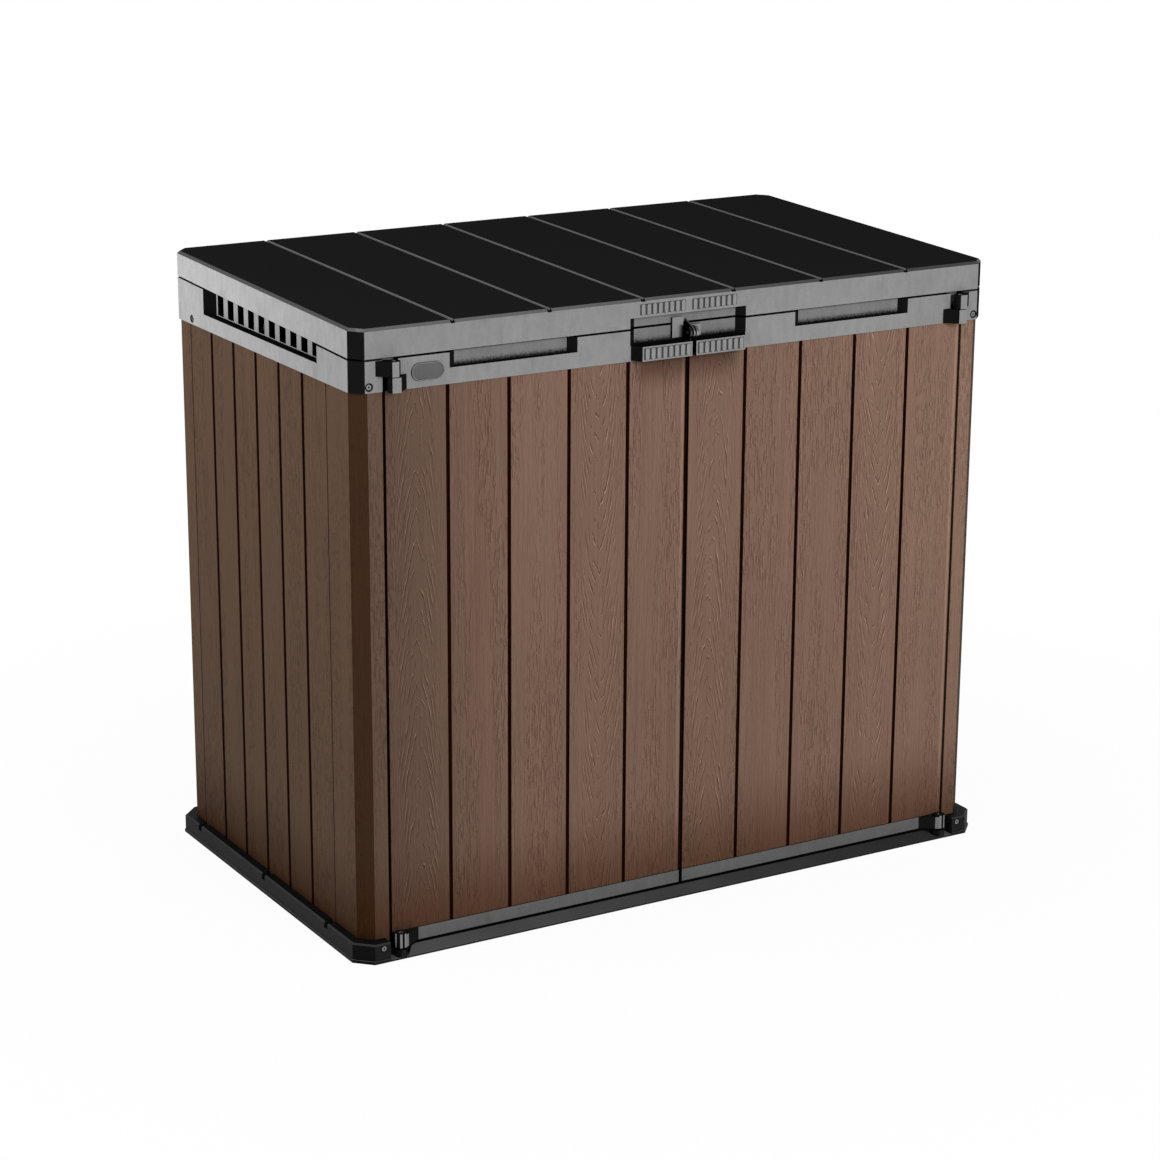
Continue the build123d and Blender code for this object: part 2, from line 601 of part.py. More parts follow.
# Doors: planked panel between two rails, hinge knuckles, handle and lock eye.
for side, s in (("left", -1), ("right", 1)):
    with BuildPart() as door_panel:
        door_z = (PANEL_Z0, COLLAR_Z)
        block((s * DOOR_X0, s * DOOR_X1), (-WOOD_Y, -WOOD_Y + WALL_T), door_z)
        for i in range(1, DOOR_PLANKS):
            groove(s * (DOOR_X0 + (DOOR_X1 - DOOR_X0) / DOOR_PLANKS * i), -WOOD_Y, (0, 1, 0), door_z)
        pockets(Plane.XZ.offset(WOOD_Y - WALL_T), (s * DOOR_X0, s * DOOR_X1), DOOR_PLANKS, door_z,
                WALL_T - SKIN_T)
    save(door_panel.part, f"{side}_door_panel")

    with BuildPart() as top_rail:
        block((s * DOOR_X0, s * DOOR_X1), (-HALF_D, -HALF_D + DOOR_T), (COLLAR_Z, COLLAR_FRONT))
        block((s * POCKET_X, s * (DOOR_X1 + CUT)), (-HALF_D - CUT, -HALF_D + POCKET_D),
              (COLLAR_Z - CUT, HEIGHT), Mode.SUBTRACT)
        prism(Plane.XY.offset(LEDGE_Z),
              [(s * FINGER_IN, -HALF_D), (s * (FINGER_IN + RECESS_SPLAY), RECESS_Y),
               (s * (FINGER_OUT - RECESS_SPLAY), RECESS_Y), (s * FINGER_OUT, -HALF_D)],
              HEIGHT - LEDGE_Z, Mode.SUBTRACT)
        prism(Plane.XY.offset(LEDGE_Z),
              [(0, -HALF_D), (0, RECESS_Y), (s * (GRIP_HALF - RECESS_SPLAY), RECESS_Y),
               (s * GRIP_HALF, -HALF_D)], HEIGHT - LEDGE_Z, Mode.SUBTRACT)
        pockets(Plane.XZ.offset(HALF_D - DOOR_T), (s * DOOR_X0, s * DOOR_X1), DOOR_PLANKS,
                (COLLAR_Z + RIB_T, COLLAR_FRONT - RIB_T), DOOR_T - POCKET_D - SKIN_T, rows=1)
        door_knuckle(s, LOW_KNUCKLE_Z, front_root(s, POCKET_X, DOOR_ROOT_X), KNUCKLE_FLAT,
                     PIN_R + PIN_PLAY, KNUCKLE_H)
    save(top_rail.part, f"{side}_door_top_rail")

    with BuildPart() as bottom_rail:
        block((s * DOOR_X0, s * DOOR_X1), (-HALF_D, -HALF_D + DOOR_T), (DOOR_Z0, PANEL_Z0))
        block((s * DOOR_ROOT_X, s * (DOOR_X1 + CUT)), (-HALF_D - CUT, -HALF_D + POCKET_D),
              (0, COLLAR_Z), Mode.SUBTRACT)
        rod(door_axis(s, DOOR_Z0), KNUCKLE_R, LOW_KNUCKLE_H)
        low_root = front_root(s, DOOR_ROOT_X, DOOR_ROOT_X - LOW_ROOT_W)
        web(Plane.XY.offset(DOOR_Z0), (s * DOOR_AXIS_X, DOOR_AXIS_Y), KNUCKLE_R, low_root, BOTTOM_RAIL_H)
        rod(door_axis(s, DOOR_Z0), PIN_R + PIN_PLAY, LOW_KNUCKLE_H, Mode.SUBTRACT)
    save(bottom_rail.part, f"{side}_door_bottom_rail")

    with BuildPart() as handle:
        prism(Plane.XY.offset(HANDLE_Z),
              [(s * HANDLE_IN, -HALF_D), (s * HANDLE_IN, HANDLE_FACE), (s * HANDLE_OUT, HANDLE_FACE),
               (s * HANDLE_ROOT, -HALF_D)], HANDLE_H)
        grip_ribs(-HANDLE_FACE, [s * (HANDLE_IN + HANDLE_MARGIN), s * (HANDLE_OUT - HANDLE_MARGIN)],
                  (HANDLE_Z + HANDLE_MARGIN, LEDGE_Z - HANDLE_MARGIN))
    save(handle.part, f"{side}_door_handle")

    with BuildPart() as lock_eye:
        inner = s * EYE_X
        outer = s * (EYE_X + EYE_T)
        with BuildSketch(Plane.YZ.offset(inner)):
            with Locations((EYE_Y, EYE_Z)):
                Circle(EYE_R)
            with Locations((RECESS_Y - TAB_T / 2, EYE_Z)):
                Rectangle(TAB_T, 2 * EYE_R)
            make_hull()
        extrude(amount=outer - inner)
        block((inner, s * (EYE_X + TAB_W)), (RECESS_Y - TAB_T, RECESS_Y), span(EYE_Z, 2 * EYE_R))
        if side == "left":
            block((s * (EYE_X + TAB_IN), s * (EYE_X + TAB_W)), (RECESS_Y - TAB_T, RECESS_Y - TAB_PLAY),
                  (EYE_Z, EYE_Z + EYE_R + TAB_RISE))
        rod(spot(Plane.YZ.offset(inner), EYE_Y, EYE_Z), EYE_HOLE_R, outer - inner, Mode.SUBTRACT)
    save(lock_eye.part, f"{side}_door_lock_eye")

with BuildPart() as badge_plate:
    with BuildSketch(spot(Plane.XZ.offset(HALF_D), -FINGER_OUT - BADGE_END, COLLAR_Z + COLLAR_H / 2)):
        SlotOverall(BADGE_W, BADGE_H)
    extrude(amount=BADGE_T)
save(badge_plate.part, "left_door_badge_plate")

# Lid: planked top, sloped shell with ribs below, grip and hinge knuckles.
top_plane = tilted(0, 0, lid_top(0), TOP_TILT)
with BuildPart() as lid_shell:
    prism(Plane.XY.offset(COLLAR_FRONT), octagon(HALF_W, HALF_D, CORNER), HEIGHT - COLLAR_FRONT + CUT)
    slope_cut(lid_under, above=False)
    slope_cut(lid_top, above=True)
    chamfer(lid_shell.faces().sort_by(Axis.Z)[-1].edges(), LID_BEVEL)
    lengthwise = Plane(origin=top_plane.origin, x_dir=(1, 0, 0), z_dir=top_plane.y_dir)
    for i in range(1, LID_PLANKS):
        prism(spot(lengthwise, (i - LID_PLANKS / 2) * WIDTH / LID_PLANKS, 0),
              groove_profile(LID_GROOVE_W, LID_GROOVE_D), DEPTH, Mode.SUBTRACT, both=True)
    xs, w = cells(-HALF_W, HALF_W, LID_PLANKS, GROOVE_RIB)
    ys, d = cells(-HALF_D, HALF_D, LID_ROWS)
    shift = (LID_FRONT_BORDER - LID_BORDER) / 2
    inside = octagon(HALF_W - LID_BORDER, HALF_D - LID_BORDER - shift, CORNER)
    with BuildSketch(top_plane.offset(-LID_SKIN_T)):
        with Locations(*[(x, y) for x in xs for y in ys]):
            Rectangle(w, d)
        Polygon(*[(x, y + shift) for x, y in inside], align=None, mode=Mode.INTERSECT)
    extrude(amount=-LID_T, mode=Mode.SUBTRACT)
    for s in (-1, 1):
        with BuildSketch(lid_seat(s * STRUT_X, LID_PIVOT_Y)):
            Rectangle(LID_PLATE_W + 2 * BOSS_MARGIN, PLATE_W + 2 * BOSS_MARGIN)
        extrude(amount=LID_T - LID_SKIN_T)
    prism(Plane.XY.offset(COLLAR_FRONT),
          [(-GRIP_HALF, -HALF_D), (-GRIP_HALF + RECESS_SPLAY, RECESS_Y),
           (GRIP_HALF - RECESS_SPLAY, RECESS_Y), (GRIP_HALF, -HALF_D)],
          GRIP_TOP - COLLAR_FRONT, Mode.SUBTRACT)
    rib_z = GRIP_TOP + LID_RIB_UP
    for s in (-1, 1):
        grip_ribs(HALF_D, [s * LID_RIB_IN, s * (GRIP_HALF - LID_RIB_END)], (rib_z, rib_z + LID_RIB_H))
    arm_z = LID_AXIS_Z + ARM_Z0
    arm = [(HALF_D, arm_z), (HALF_D, arm_z + ARM_H), (HALF_D - ARM_ROOT_D, arm_z + ARM_H)]
    for s in (-1, 1):
        side_plane = Plane.YZ.offset(s * LID_HINGE_X - LID_KNUCKLE_W / 2)
        web(side_plane, (LID_AXIS_Y, LID_AXIS_Z), LID_KNUCKLE_R, arm, LID_KNUCKLE_W)
        rod(spot(side_plane, LID_AXIS_Y, LID_AXIS_Z), PIN_R + PIN_PLAY, LID_KNUCKLE_W, Mode.SUBTRACT)
save(lid_shell.part, "lid_shell")

with BuildPart() as lid_eye:
    with BuildSketch(Plane.YZ):
        with Locations((EYE_Y, EYE_Z)):
            Circle(EYE_R)
        root_z = COLLAR_FRONT + LID_GAP + EYE_ROOT_UP
        Polygon((RECESS_Y, root_z), (RECESS_Y, root_z + EYE_ROOT_H),
                (RECESS_Y - EYE_ROOT_T, root_z + EYE_ROOT_H / 2), align=None)
        make_hull()
    extrude(amount=LID_EYE_T / 2, both=True)
    rod(spot(Plane.YZ.offset(-LID_EYE_T), EYE_Y, EYE_Z), EYE_HOLE_R, 2 * LID_EYE_T, Mode.SUBTRACT)
save(lid_eye.part, "lid_lock_eye")

for side, s in (("left", -1), ("right", 1)):
    for end, y in (("front", -HALF_D + BUMPER_INSET), ("rear", HALF_D - BUMPER_INSET)):
        with BuildPart() as bumper:
            with BuildSketch(lid_seat(s * (HALF_W - CORNER - BUMPER_L / 2), y)):
                Rectangle(BUMPER_L, BUMPER_W)
            extrude(amount=BUMPER_PLAY - LID_GAP * cos(radians(TILT)))
        save(bumper.part, f"{end}_{side}_bumper")

# Lid struts: brackets with studs, tube, rod and their end eyes.
for side, s in (("left", -1), ("right", 1)):
    with BuildPart() as wall_bracket:
        block((s * WALL_X, s * (WALL_X - PLATE_T)), span(WALL_PIVOT_Y, PLATE_W),
              span(WALL_PIVOT_Z, PLATE_H))
        stud = spot(Plane.YZ.offset(s * (WALL_X - PLATE_T)), WALL_PIVOT_Y, WALL_PIVOT_Z)
        shoulder = WALL_X - PLATE_T - STRUT_X - EYE_DISC_T / 2 - EYE_SIDE_GAP
        neck = shoulder + EYE_DISC_T + 2 * EYE_SIDE_GAP
        rod(stud, STUD_SHOULDER_R, -s * shoulder)
        rod(stud, STUD_R, -s * neck)
        rod(stud.offset(-s * neck), STUD_HEAD_R, -s * STUD_HEAD_T)
    save(wall_bracket.part, f"{side}_strut_wall_bracket")

    with BuildPart() as lid_bracket:
        pad = lid_seat(s * STRUT_X, LID_PIVOT_Y)
        with BuildSketch(pad):
            Rectangle(LID_PLATE_W, PLATE_W)
        extrude(amount=-PLATE_T)
        hang = s * (STRUT_X + EYE_DISC_T / 2 + EYE_SIDE_GAP)
        with BuildSketch(Plane.YZ.offset(hang)):
            with Locations((LID_PIVOT_Y, LID_PIVOT_Z)):
                Circle(HANG_R)
            with Locations((LID_PIVOT_Y, pad.origin.Z - PLATE_T / 2)):
                Rectangle(HANG_W, PLATE_T / 4)
            make_hull()
        extrude(amount=s * PLATE_T)
        stud = spot(Plane.YZ.offset(hang), LID_PIVOT_Y, LID_PIVOT_Z)
        neck = EYE_DISC_T + 2 * EYE_SIDE_GAP
        rod(stud, STUD_R, -s * neck)
        rod(stud.offset(-s * neck), STUD_HEAD_R, -s * STUD_HEAD_T)
    save(lid_bracket.part, f"{side}_strut_lid_bracket")

    from_wall = Plane(origin=(s * STRUT_X, WALL_PIVOT_Y, WALL_PIVOT_Z), x_dir=(1, 0, 0), z_dir=STRUT_DIR)
    from_lid = from_wall.offset(STRUT_LENGTH)

    with BuildPart() as tube:
        rod(from_wall.offset(TUBE_START), TUBE_R, TUBE_LENGTH)
        rod(from_wall.offset(TUBE_START + TUBE_END), TUBE_BORE_R, TUBE_LENGTH - 3 * TUBE_END, Mode.SUBTRACT)
        rod(from_wall.offset(TUBE_START + TUBE_END), ROD_R + PIN_PLAY, TUBE_LENGTH, Mode.SUBTRACT)
    save(tube.part, f"{side}_strut_tube")

    with BuildPart() as tube_eye:
        rod(spot(Plane.YZ.offset(s * STRUT_X - EYE_DISC_T / 2), WALL_PIVOT_Y, WALL_PIVOT_Z),
            EYE_DISC_R, EYE_DISC_T)
        rod(from_wall, EYE_NECK_R, TUBE_START)
        rod(spot(Plane.YZ.offset(s * STRUT_X - EYE_DISC_T), WALL_PIVOT_Y, WALL_PIVOT_Z),
            STUD_R + PIN_PLAY, 2 * EYE_DISC_T, Mode.SUBTRACT)
    save(tube_eye.part, f"{side}_strut_tube_eye")

    with BuildPart() as piston_rod:
        rod(from_lid.offset(-ROD_END), ROD_R, -ROD_LENGTH)
        rod(from_lid.offset(-ROD_END - ROD_LENGTH), TUBE_BORE_R - PIN_PLAY, TUBE_END)
    save(piston_rod.part, f"{side}_strut_rod")

    with BuildPart() as rod_eye:
        rod(spot(Plane.YZ.offset(s * STRUT_X - EYE_DISC_T / 2), LID_PIVOT_Y, LID_PIVOT_Z),
            EYE_DISC_R, EYE_DISC_T)
        rod(from_lid, EYE_NECK_R, -ROD_END)
        rod(spot(Plane.YZ.offset(s * STRUT_X - EYE_DISC_T), LID_PIVOT_Y, LID_PIVOT_Z),
            STUD_R + PIN_PLAY, 2 * EYE_DISC_T, Mode.SUBTRACT)
    save(rod_eye.part, f"{side}_strut_rod_eye")
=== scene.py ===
# %% [markdown]
# # A garden storage box with a lid and two doors
# The solids of the box come ready made, in metres: panels, collar, lid, doors, hinges and struts.
# This script gives them their finishes, adds the small trim that sits on them, and sets the light
# and the camera. Each cell does one thing, and the text before it says why it is done that way.

# %% Load the solids
import math

import bpy
import numpy as np
from mathutils import Matrix, Vector


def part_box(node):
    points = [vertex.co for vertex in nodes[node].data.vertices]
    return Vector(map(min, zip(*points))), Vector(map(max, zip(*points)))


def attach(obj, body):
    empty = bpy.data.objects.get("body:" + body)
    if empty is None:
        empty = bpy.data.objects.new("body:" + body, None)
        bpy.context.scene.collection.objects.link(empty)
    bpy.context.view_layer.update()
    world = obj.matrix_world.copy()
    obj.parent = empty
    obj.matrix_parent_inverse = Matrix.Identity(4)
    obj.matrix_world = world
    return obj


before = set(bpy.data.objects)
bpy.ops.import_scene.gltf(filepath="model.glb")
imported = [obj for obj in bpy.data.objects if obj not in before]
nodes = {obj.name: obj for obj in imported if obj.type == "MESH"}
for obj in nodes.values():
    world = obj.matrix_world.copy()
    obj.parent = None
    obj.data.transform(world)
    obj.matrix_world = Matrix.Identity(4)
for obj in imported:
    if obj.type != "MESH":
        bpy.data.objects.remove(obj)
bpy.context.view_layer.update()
scene = bpy.context.scene
MM = 0.001

# %% [markdown]
# ## Camera
# The picture looks at the front and the left side from a little above. A long lens keeps the
# upright edges nearly parallel. The camera stands on a sphere round an aim point, placed by two
# angles, and a small roll levels the picture. A focal length in pixels is easy to measure, so it
# is turned into millimetres on the sensor here.

# %% Place the camera
PICTURE_PX = 1160
FOCAL_PX = 3056.5
SENSOR_MM = 36.0
AIM = Vector((-0.0135, -0.0253, 0.5525))
DISTANCE = 6.238
AZIMUTH, ELEVATION, ROLL = (math.radians(a) for a in (-30.539, 16.470, 0.297))


def direction(azimuth, elevation):
    """Unit vector from the aim point: azimuth 0 is in front of the doors, positive to the right."""
    flat = math.cos(elevation)
    return Vector((math.sin(azimuth) * flat, -math.cos(azimuth) * flat, math.sin(elevation)))


camera = bpy.data.objects.new("camera", bpy.data.cameras.new("camera"))
scene.collection.objects.link(camera)
camera.data.sensor_width = SENSOR_MM
camera.data.lens = FOCAL_PX / PICTURE_PX * SENSOR_MM
away = direction(AZIMUTH, ELEVATION)
turn = (-away).to_track_quat("-Z", "Y").to_matrix() @ Matrix.Rotation(ROLL, 3, "Z")
camera.matrix_world = Matrix.Translation(AIM + away * DISTANCE) @ turn.to_4x4()
scene.camera = camera
print("lens", round(camera.data.lens, 2), "mm")

# %% [markdown]
# ## Shader maths as Python
# A material is a graph of nodes, and sums are long to write as nodes. Here a small class wraps a
# socket and overloads the operators, so that `1 - mask` adds its Math node by itself. Colours go
# through Mix and Vector Math nodes, because a Math node would turn them grey.

# %% A number that changes over a surface


class Value:
    """A node's output, on which Python's operators add Math nodes."""

    def __init__(self, graph, socket):
        self.graph, self.socket = graph, socket

    def maths(self, operation, *others):
        """A Math node of that operation on this value and the others, in order."""
        inputs = dict(enumerate((self, *others)))
        return self.graph.add("ShaderNodeMath", {"operation": operation}, inputs)

    def __add__(self, other):
        return self.maths("ADD", other)

    def __sub__(self, other):
        return self.maths("SUBTRACT", other)

    def __rsub__(self, other):
        return (self * -1.0).maths("ADD", other)

    def __mul__(self, other):
        return self.maths("MULTIPLY", other)

    def __abs__(self):
        return self.maths("ABSOLUTE")

    __radd__, __rmul__ = __add__, __mul__

    def step(self, low, high):
        """0 below low and 1 above high, with a smooth rise between them."""
        return self.graph.add("ShaderNodeMapRange", {"interpolation_type": "SMOOTHSTEP"},
                              {"Value": self, "From Min": low, "From Max": high})

    def within(self, low, high, soft):
        """1 between low and high, and 0 outside, with soft edges outside them."""
        return self.step(low - soft, low) * (1 - self.step(high, high + soft))


print("operators on sockets ready")

# %% [markdown]
# The graph adds the nodes. One method makes any node from its type, its settings and its sockets,
# and short methods on top of it give what the finishes ask for: the point on the object, the way
# its surface faces, noise, and colours mixed or shaded. Point and direction are the object's own,
# so a pattern stays on its piece when the piece moves.

# %% A graph that nodes are added to


class Graph:
    """The node tree of a material or of the world."""

    def __init__(self, tree):
        self.tree = tree

    def put(self, value, socket):
        """Links a value to a socket, or sets the socket to a plain number or colour."""
        if isinstance(value, Value):
            self.tree.links.new(value.socket, socket)
        elif isinstance(value, tuple) and socket.type == "RGBA":
            socket.default_value = (*value, 1.0)
        else:
            socket.default_value = value

    def add(self, kind, settings=None, inputs=None, output=0):
        """Adds a node: its settings first, then its sockets by name or number."""
        node = self.tree.nodes.new(kind)
        for key, value in (settings or {}).items():
            setattr(node, key, value)
        for key, value in (inputs or {}).items():
            self.put(value, node.inputs[key])
        return Value(self, node.outputs[output])

    def parts(self, vector):
        """The three numbers of a vector."""
        return [self.add("ShaderNodeSeparateXYZ", None, {0: vector}, axis) for axis in range(3)]

    def place(self):
        """The point on the object, in metres."""
        return self.parts(self.add("ShaderNodeTexCoord", None, None, "Object"))

    def facing(self):
        """The surface's direction in the object's own space."""
        return self.parts(self.add("ShaderNodeTexCoord", None, None, "Normal"))

    def noise(self, scales, detail, seed=0.0, point=None):
        """Noise about 0, roughly -0.25 to 0.25, with that many waves per metre along each axis."""
        x, y, z = (axis * scale for axis, scale in zip(point or self.place(), scales))
        spot = self.add("ShaderNodeCombineXYZ", None, {0: x + seed, 1: y, 2: z})
        inputs = {"Vector": spot, "Scale": 1.0, "Detail": detail}
        return self.add("ShaderNodeTexNoise", None, inputs) - 0.5

    def mix(self, factor, first, second):
        """A colour between two colours."""
        return self.add("ShaderNodeMix", {"data_type": "RGBA"}, {0: factor, 6: first, 7: second}, 2)

    def shade(self, colour, amount):
        """A colour times a number."""
        inputs = {0: colour, "Scale": amount}
        return self.add("ShaderNodeVectorMath", {"operation": "SCALE"}, inputs)


print("graph ready")

# %% [markdown]
# A finish is a graph with one Principled shader. What changes over the surface goes to its
# colour, its roughness and, through a Bump node, its relief. Colours are easiest to read as
# screen values, while a shader takes them linear, so they go through the curve that screens use.

# %% Finishes and colours


class Finish(Graph):
    """A material with one Principled shader."""

    def __init__(self, name, roughness, specular):
        self.material = bpy.data.materials.new(name)
        self.material.use_nodes = True
        super().__init__(self.material.node_tree)
        self.shader = self.tree.nodes["Principled BSDF"]
        self.shader.inputs["Roughness"].default_value = roughness
        self.shader.inputs["Specular IOR Level"].default_value = specular

    def end(self, colour, roughness, height=None, depth=0.0):
        """Sends colour, roughness and relief to the shader; depth is the relief's in metres."""
        self.put(colour, self.shader.inputs["Base Color"])
        self.put(roughness, self.shader.inputs["Roughness"])
        if height is not None:
            inputs = {"Height": height, "Strength": 1.0, "Distance": depth}
            self.put(self.add("ShaderNodeBump", None, inputs), self.shader.inputs["Normal"])
        return self.material


def wear(name, material):
    """Gives a solid its finish."""
    slots = nodes[name].data.materials
    slots.clear()
    slots.append(material)


def brown(*levels):
    """Screen colour, 0 to 255 each, as the linear colour that a shader takes."""
    c = np.array(levels, float) / 255
    return tuple(float(v) for v in np.where(c <= 0.04045, c / 12.92, ((c + 0.055) / 1.055) ** 2.4))


def grey(level):
    """Screen grey, 0 to 255, as the linear colour that a shader takes."""
    return brown(level, level, level)


print("finishes ready")

# %% [markdown]
# ## Grey and black collar
# Collar, lid and door rails are mouldings of black plastic. Their flat outer faces carry a mottled
# light grey, like old zinc, and everything that turns away from them stays black: corner flats,
# recess ends, ledges, hinge sides. The surface direction, read in the object's own space, tells
# the two apart, so one finish serves every moulding and stays right when a door swings open. The
# mottling adds noises of several sizes. On the sides the grey is lighter than on the front, which
# is painted light, and lightest at the back. The recess walls carry painted shade, deepest just
# above their ledge.

# %% Mottled zinc grey
RECESS_WALL = 0.394
LEDGE, LEDGE_SHADE_TOP = 1.122, 1.134
LEDGE_SHADE, RECESS_SHADE, SIDE_LOSS = 0.78, 0.2, 0.3
SIDE_ENDS = (-0.5, 0.5)


def zinc(finish, front, side, turned):
    """Mottled grey: clouds, upright smears, fine flecks, stains, painted shade in recesses; turned
    is 1 on the sides.
    """
    y, z = finish.place()[1:]
    clouds = finish.noise((14.0, 14.0, 14.0), 4.0)
    smears = finish.noise((75.0, 75.0, 26.0), 3.0)
    flecks = finish.noise((330.0, 330.0, 260.0), 2.0)
    stains = finish.noise((34.0, 34.0, 15.0), 5.0, 5.0).step(0.08, 0.2)
    level = 1.0 + clouds * 0.26 + smears * 0.3 + flecks * 0.22 - stains * 0.1
    # Painted shade on the recess walls, deepest just above their ledge.
    recess = (1 - abs(y).step(RECESS_WALL - MM, RECESS_WALL)) * (1 - turned)
    foot = 1 - (z + smears * 0.003 + flecks * 0.012).step(LEDGE, LEDGE_SHADE_TOP)
    level = level * (1 - recess * (foot * LEDGE_SHADE + RECESS_SHADE))
    back = y.step(*SIDE_ENDS) * turned
    return finish.shade(finish.mix(turned, front, side), level * (1 - (turned - back) * SIDE_LOSS))


print("recess walls darken below", LEDGE_SHADE_TOP, "m")

# %% [markdown]
# Lid and handles have grip ribs, and the gaps between the ribs carry painted shade. The lid's top
# is planked, and each plank joint runs out through the front bevel as a small black notch. With x
# counted in planks from the middle, the joints of an odd number of planks lie where the fraction
# is a half.

# %% Grip ribs and notches
RIB_SOFT, RIB_FACE_SOFT, RIB_BACK = 0.2 * MM, 0.5 * MM, -0.3
LID_PLANK = 1.410 / 7
NOTCH_EDGE = (4.0 * MM, 5.0 * MM)
FRONT_BEVEL_Y, FRONT_BEVEL_Z = (-0.396, -0.395), (1.2025, 1.2035)
NOTCH_BLACK = grey(10)


def rib_gaps(finish, x_limits, z_limits, face):
    """1 between the grip ribs on a front face at that distance from the middle, 0 on the ribs."""
    x, y, z = finish.place()
    return (abs(x).within(*x_limits, RIB_SOFT) * z.within(*z_limits, RIB_SOFT)
            * y.within(-face - RIB_FACE_SOFT, RIB_BACK, RIB_FACE_SOFT))


def notched_edge(finish, colour):
    """The lid's front edge, black where a plank joint runs out through it."""
    x, y, z = finish.place()
    off = abs((x * (1 / LID_PLANK)).maths("FRACT") - 0.5) * LID_PLANK
    joint = 1 - off.step(*NOTCH_EDGE)
    notches = joint * (1 - y.step(*FRONT_BEVEL_Y)) * z.step(*FRONT_BEVEL_Z)
    return finish.mix(notches, colour, NOTCH_BLACK)


print("lid planks of", round(LID_PLANK, 4), "m")

# %% [markdown]
# The lower hinges show light upright stripes on black, which are painted highlights. They are
# drawn as bands of the angle round the pin, counted from the front and outwards, so that left and
# right hinge mirror each other. The rails' lower edge is painted black over the gap to the ramp,
# as a painted shadow, and the left eye's tab gets painted shade towards the eye.

# %% Hinge stripes and eye tab
HIGHLIGHT_BANDS = [[math.radians(a) for a in band] for band in ((-30, -11), (15, 33), (72, 94))]
HIGHLIGHT_SOFT = 0.06
HINGE_X, HINGE_Y, HINGE_LEVEL = (0.616, 0.617), (-0.402, -0.401), (0.5, 0.7)
HINGE_BLACK, HIGHLIGHT_GREY, GAP_SHADOW_BLACK = grey(14), grey(128), grey(6)
RAIL_SHADOW_EDGE = (0.0215, 0.0225)
TAB_X, TAB_Z, TAB_SHADE = (-0.022, -0.010), (1.146, 1.153), 0.8


def highlighted_hinge(finish, colour):
    """A door's foot rail: painted-highlight stripes on the black hinge, and a lower edge in painted
    shadow.
    """
    x, y, z = finish.place()
    nx, ny, nz = finish.facing()
    angle = (nx * x.maths("SIGN")).maths("ARCTAN2", ny * -1.0)
    highlights = sum(angle.within(low, high, HIGHLIGHT_SOFT) for low, high in HIGHLIGHT_BANDS)
    hinge = abs(x).step(*HINGE_X) * (1 - y.step(*HINGE_Y)) * (1 - abs(nz).step(*HINGE_LEVEL))
    colour = finish.mix(hinge, colour, finish.mix(highlights, HINGE_BLACK, HIGHLIGHT_GREY))
    return finish.mix(1 - z.step(*RAIL_SHADOW_EDGE), colour, GAP_SHADOW_BLACK)


def shaded_tab(finish, colour):
    """The left eye's tab, with painted shade towards the eye in its lower half."""
    x, _, z = finish.place()
    return finish.shade(colour, 1 - x.step(*TAB_X) * (1 - z.step(*TAB_Z)) * TAB_SHADE)


print("hinge stripes:", len(HIGHLIGHT_BANDS))

# %% [markdown]
# The collar's finish puts these together. A face counts as flat where it points straight out and
# lies far enough from the middle, as a bevel where it leans, and as a top where it points up. The
# lid's front bevel gets painted shade that deepens from left to right, and the bevels on the sides
# are painted darker than those at the front, as painted shade.

# %% Collar finish
OUTER_X, OUTER_Y = 0.684, 0.385
FLAT_X, FLAT_Y, SIDE_TURN = (0.9, 0.95), (0.85, 0.93), (0.4, 0.6)
BEVEL_SLOPE, BEVEL_SOFT, TOP_SLOPE = (0.35, 0.93), 0.06, (0.93, 0.97)
COLLAR_ROUGH, MOULD_BLACK, RIB_GAP_SHADE = 0.7, grey(22), 0.7
MOULD_GRAIN = 0.3 * MM
SIDE_BEVEL, SIDE_BEVEL_SHADE = (0.69, 0.695), 0.6
BEVEL_SHADE_X, BEVEL_SHADE, BEVEL_SHADE_START = (-0.45, 0.5), 0.42, 0.22


def collar_finish(name, front, side, top, edge, ribs=None, front_bevel_shade=False, extra=None):
    """Black moulding with zinc-grey flats, grey bevels and a top; extra changes its colour."""
    finish = Finish(name, COLLAR_ROUGH, 0.0)
    x, y, _ = finish.place()
    nx, ny, nz = finish.facing()
    outward = (nx * x + ny * y).step(0.0, 0.1)
    nx, ny = abs(nx), abs(ny)
    flat = outward * (nx.step(*FLAT_X) * abs(x).step(OUTER_X - MM, OUTER_X)
                      + ny.step(*FLAT_Y) * abs(y).step(OUTER_Y - MM, OUTER_Y))
    if ribs:
        # The gaps between the grip ribs get painted shade.
        flat = flat * (1 - rib_gaps(finish, *ribs) * RIB_GAP_SHADE)
    grain = finish.noise((800.0, 800.0, 800.0), 2.0)
    dark = finish.mix(nz.step(*TOP_SLOPE), MOULD_BLACK, top)
    colour = finish.mix(flat, finish.shade(dark, 1.0 + grain * 0.5),
                        zinc(finish, front, side, nx.step(*SIDE_TURN)))
    # Painted shade: side bevels darker, and the lid's front bevel darker towards the right.
    bright = 1 - nx * abs(x).step(*SIDE_BEVEL) * SIDE_BEVEL_SHADE
    if front_bevel_shade:
        bright = bright * (1 - (1 - y.step(*FRONT_BEVEL_Y)) * (x.step(*BEVEL_SHADE_X) * BEVEL_SHADE + BEVEL_SHADE_START))
    colour = finish.mix(nz.within(*BEVEL_SLOPE, BEVEL_SOFT), colour, finish.shade(edge, bright))
    if extra:
        colour = extra(finish, colour)
    return finish.end(colour, COLLAR_ROUGH + grain * 0.3, grain, MOULD_GRAIN)


print("collar finish ready")
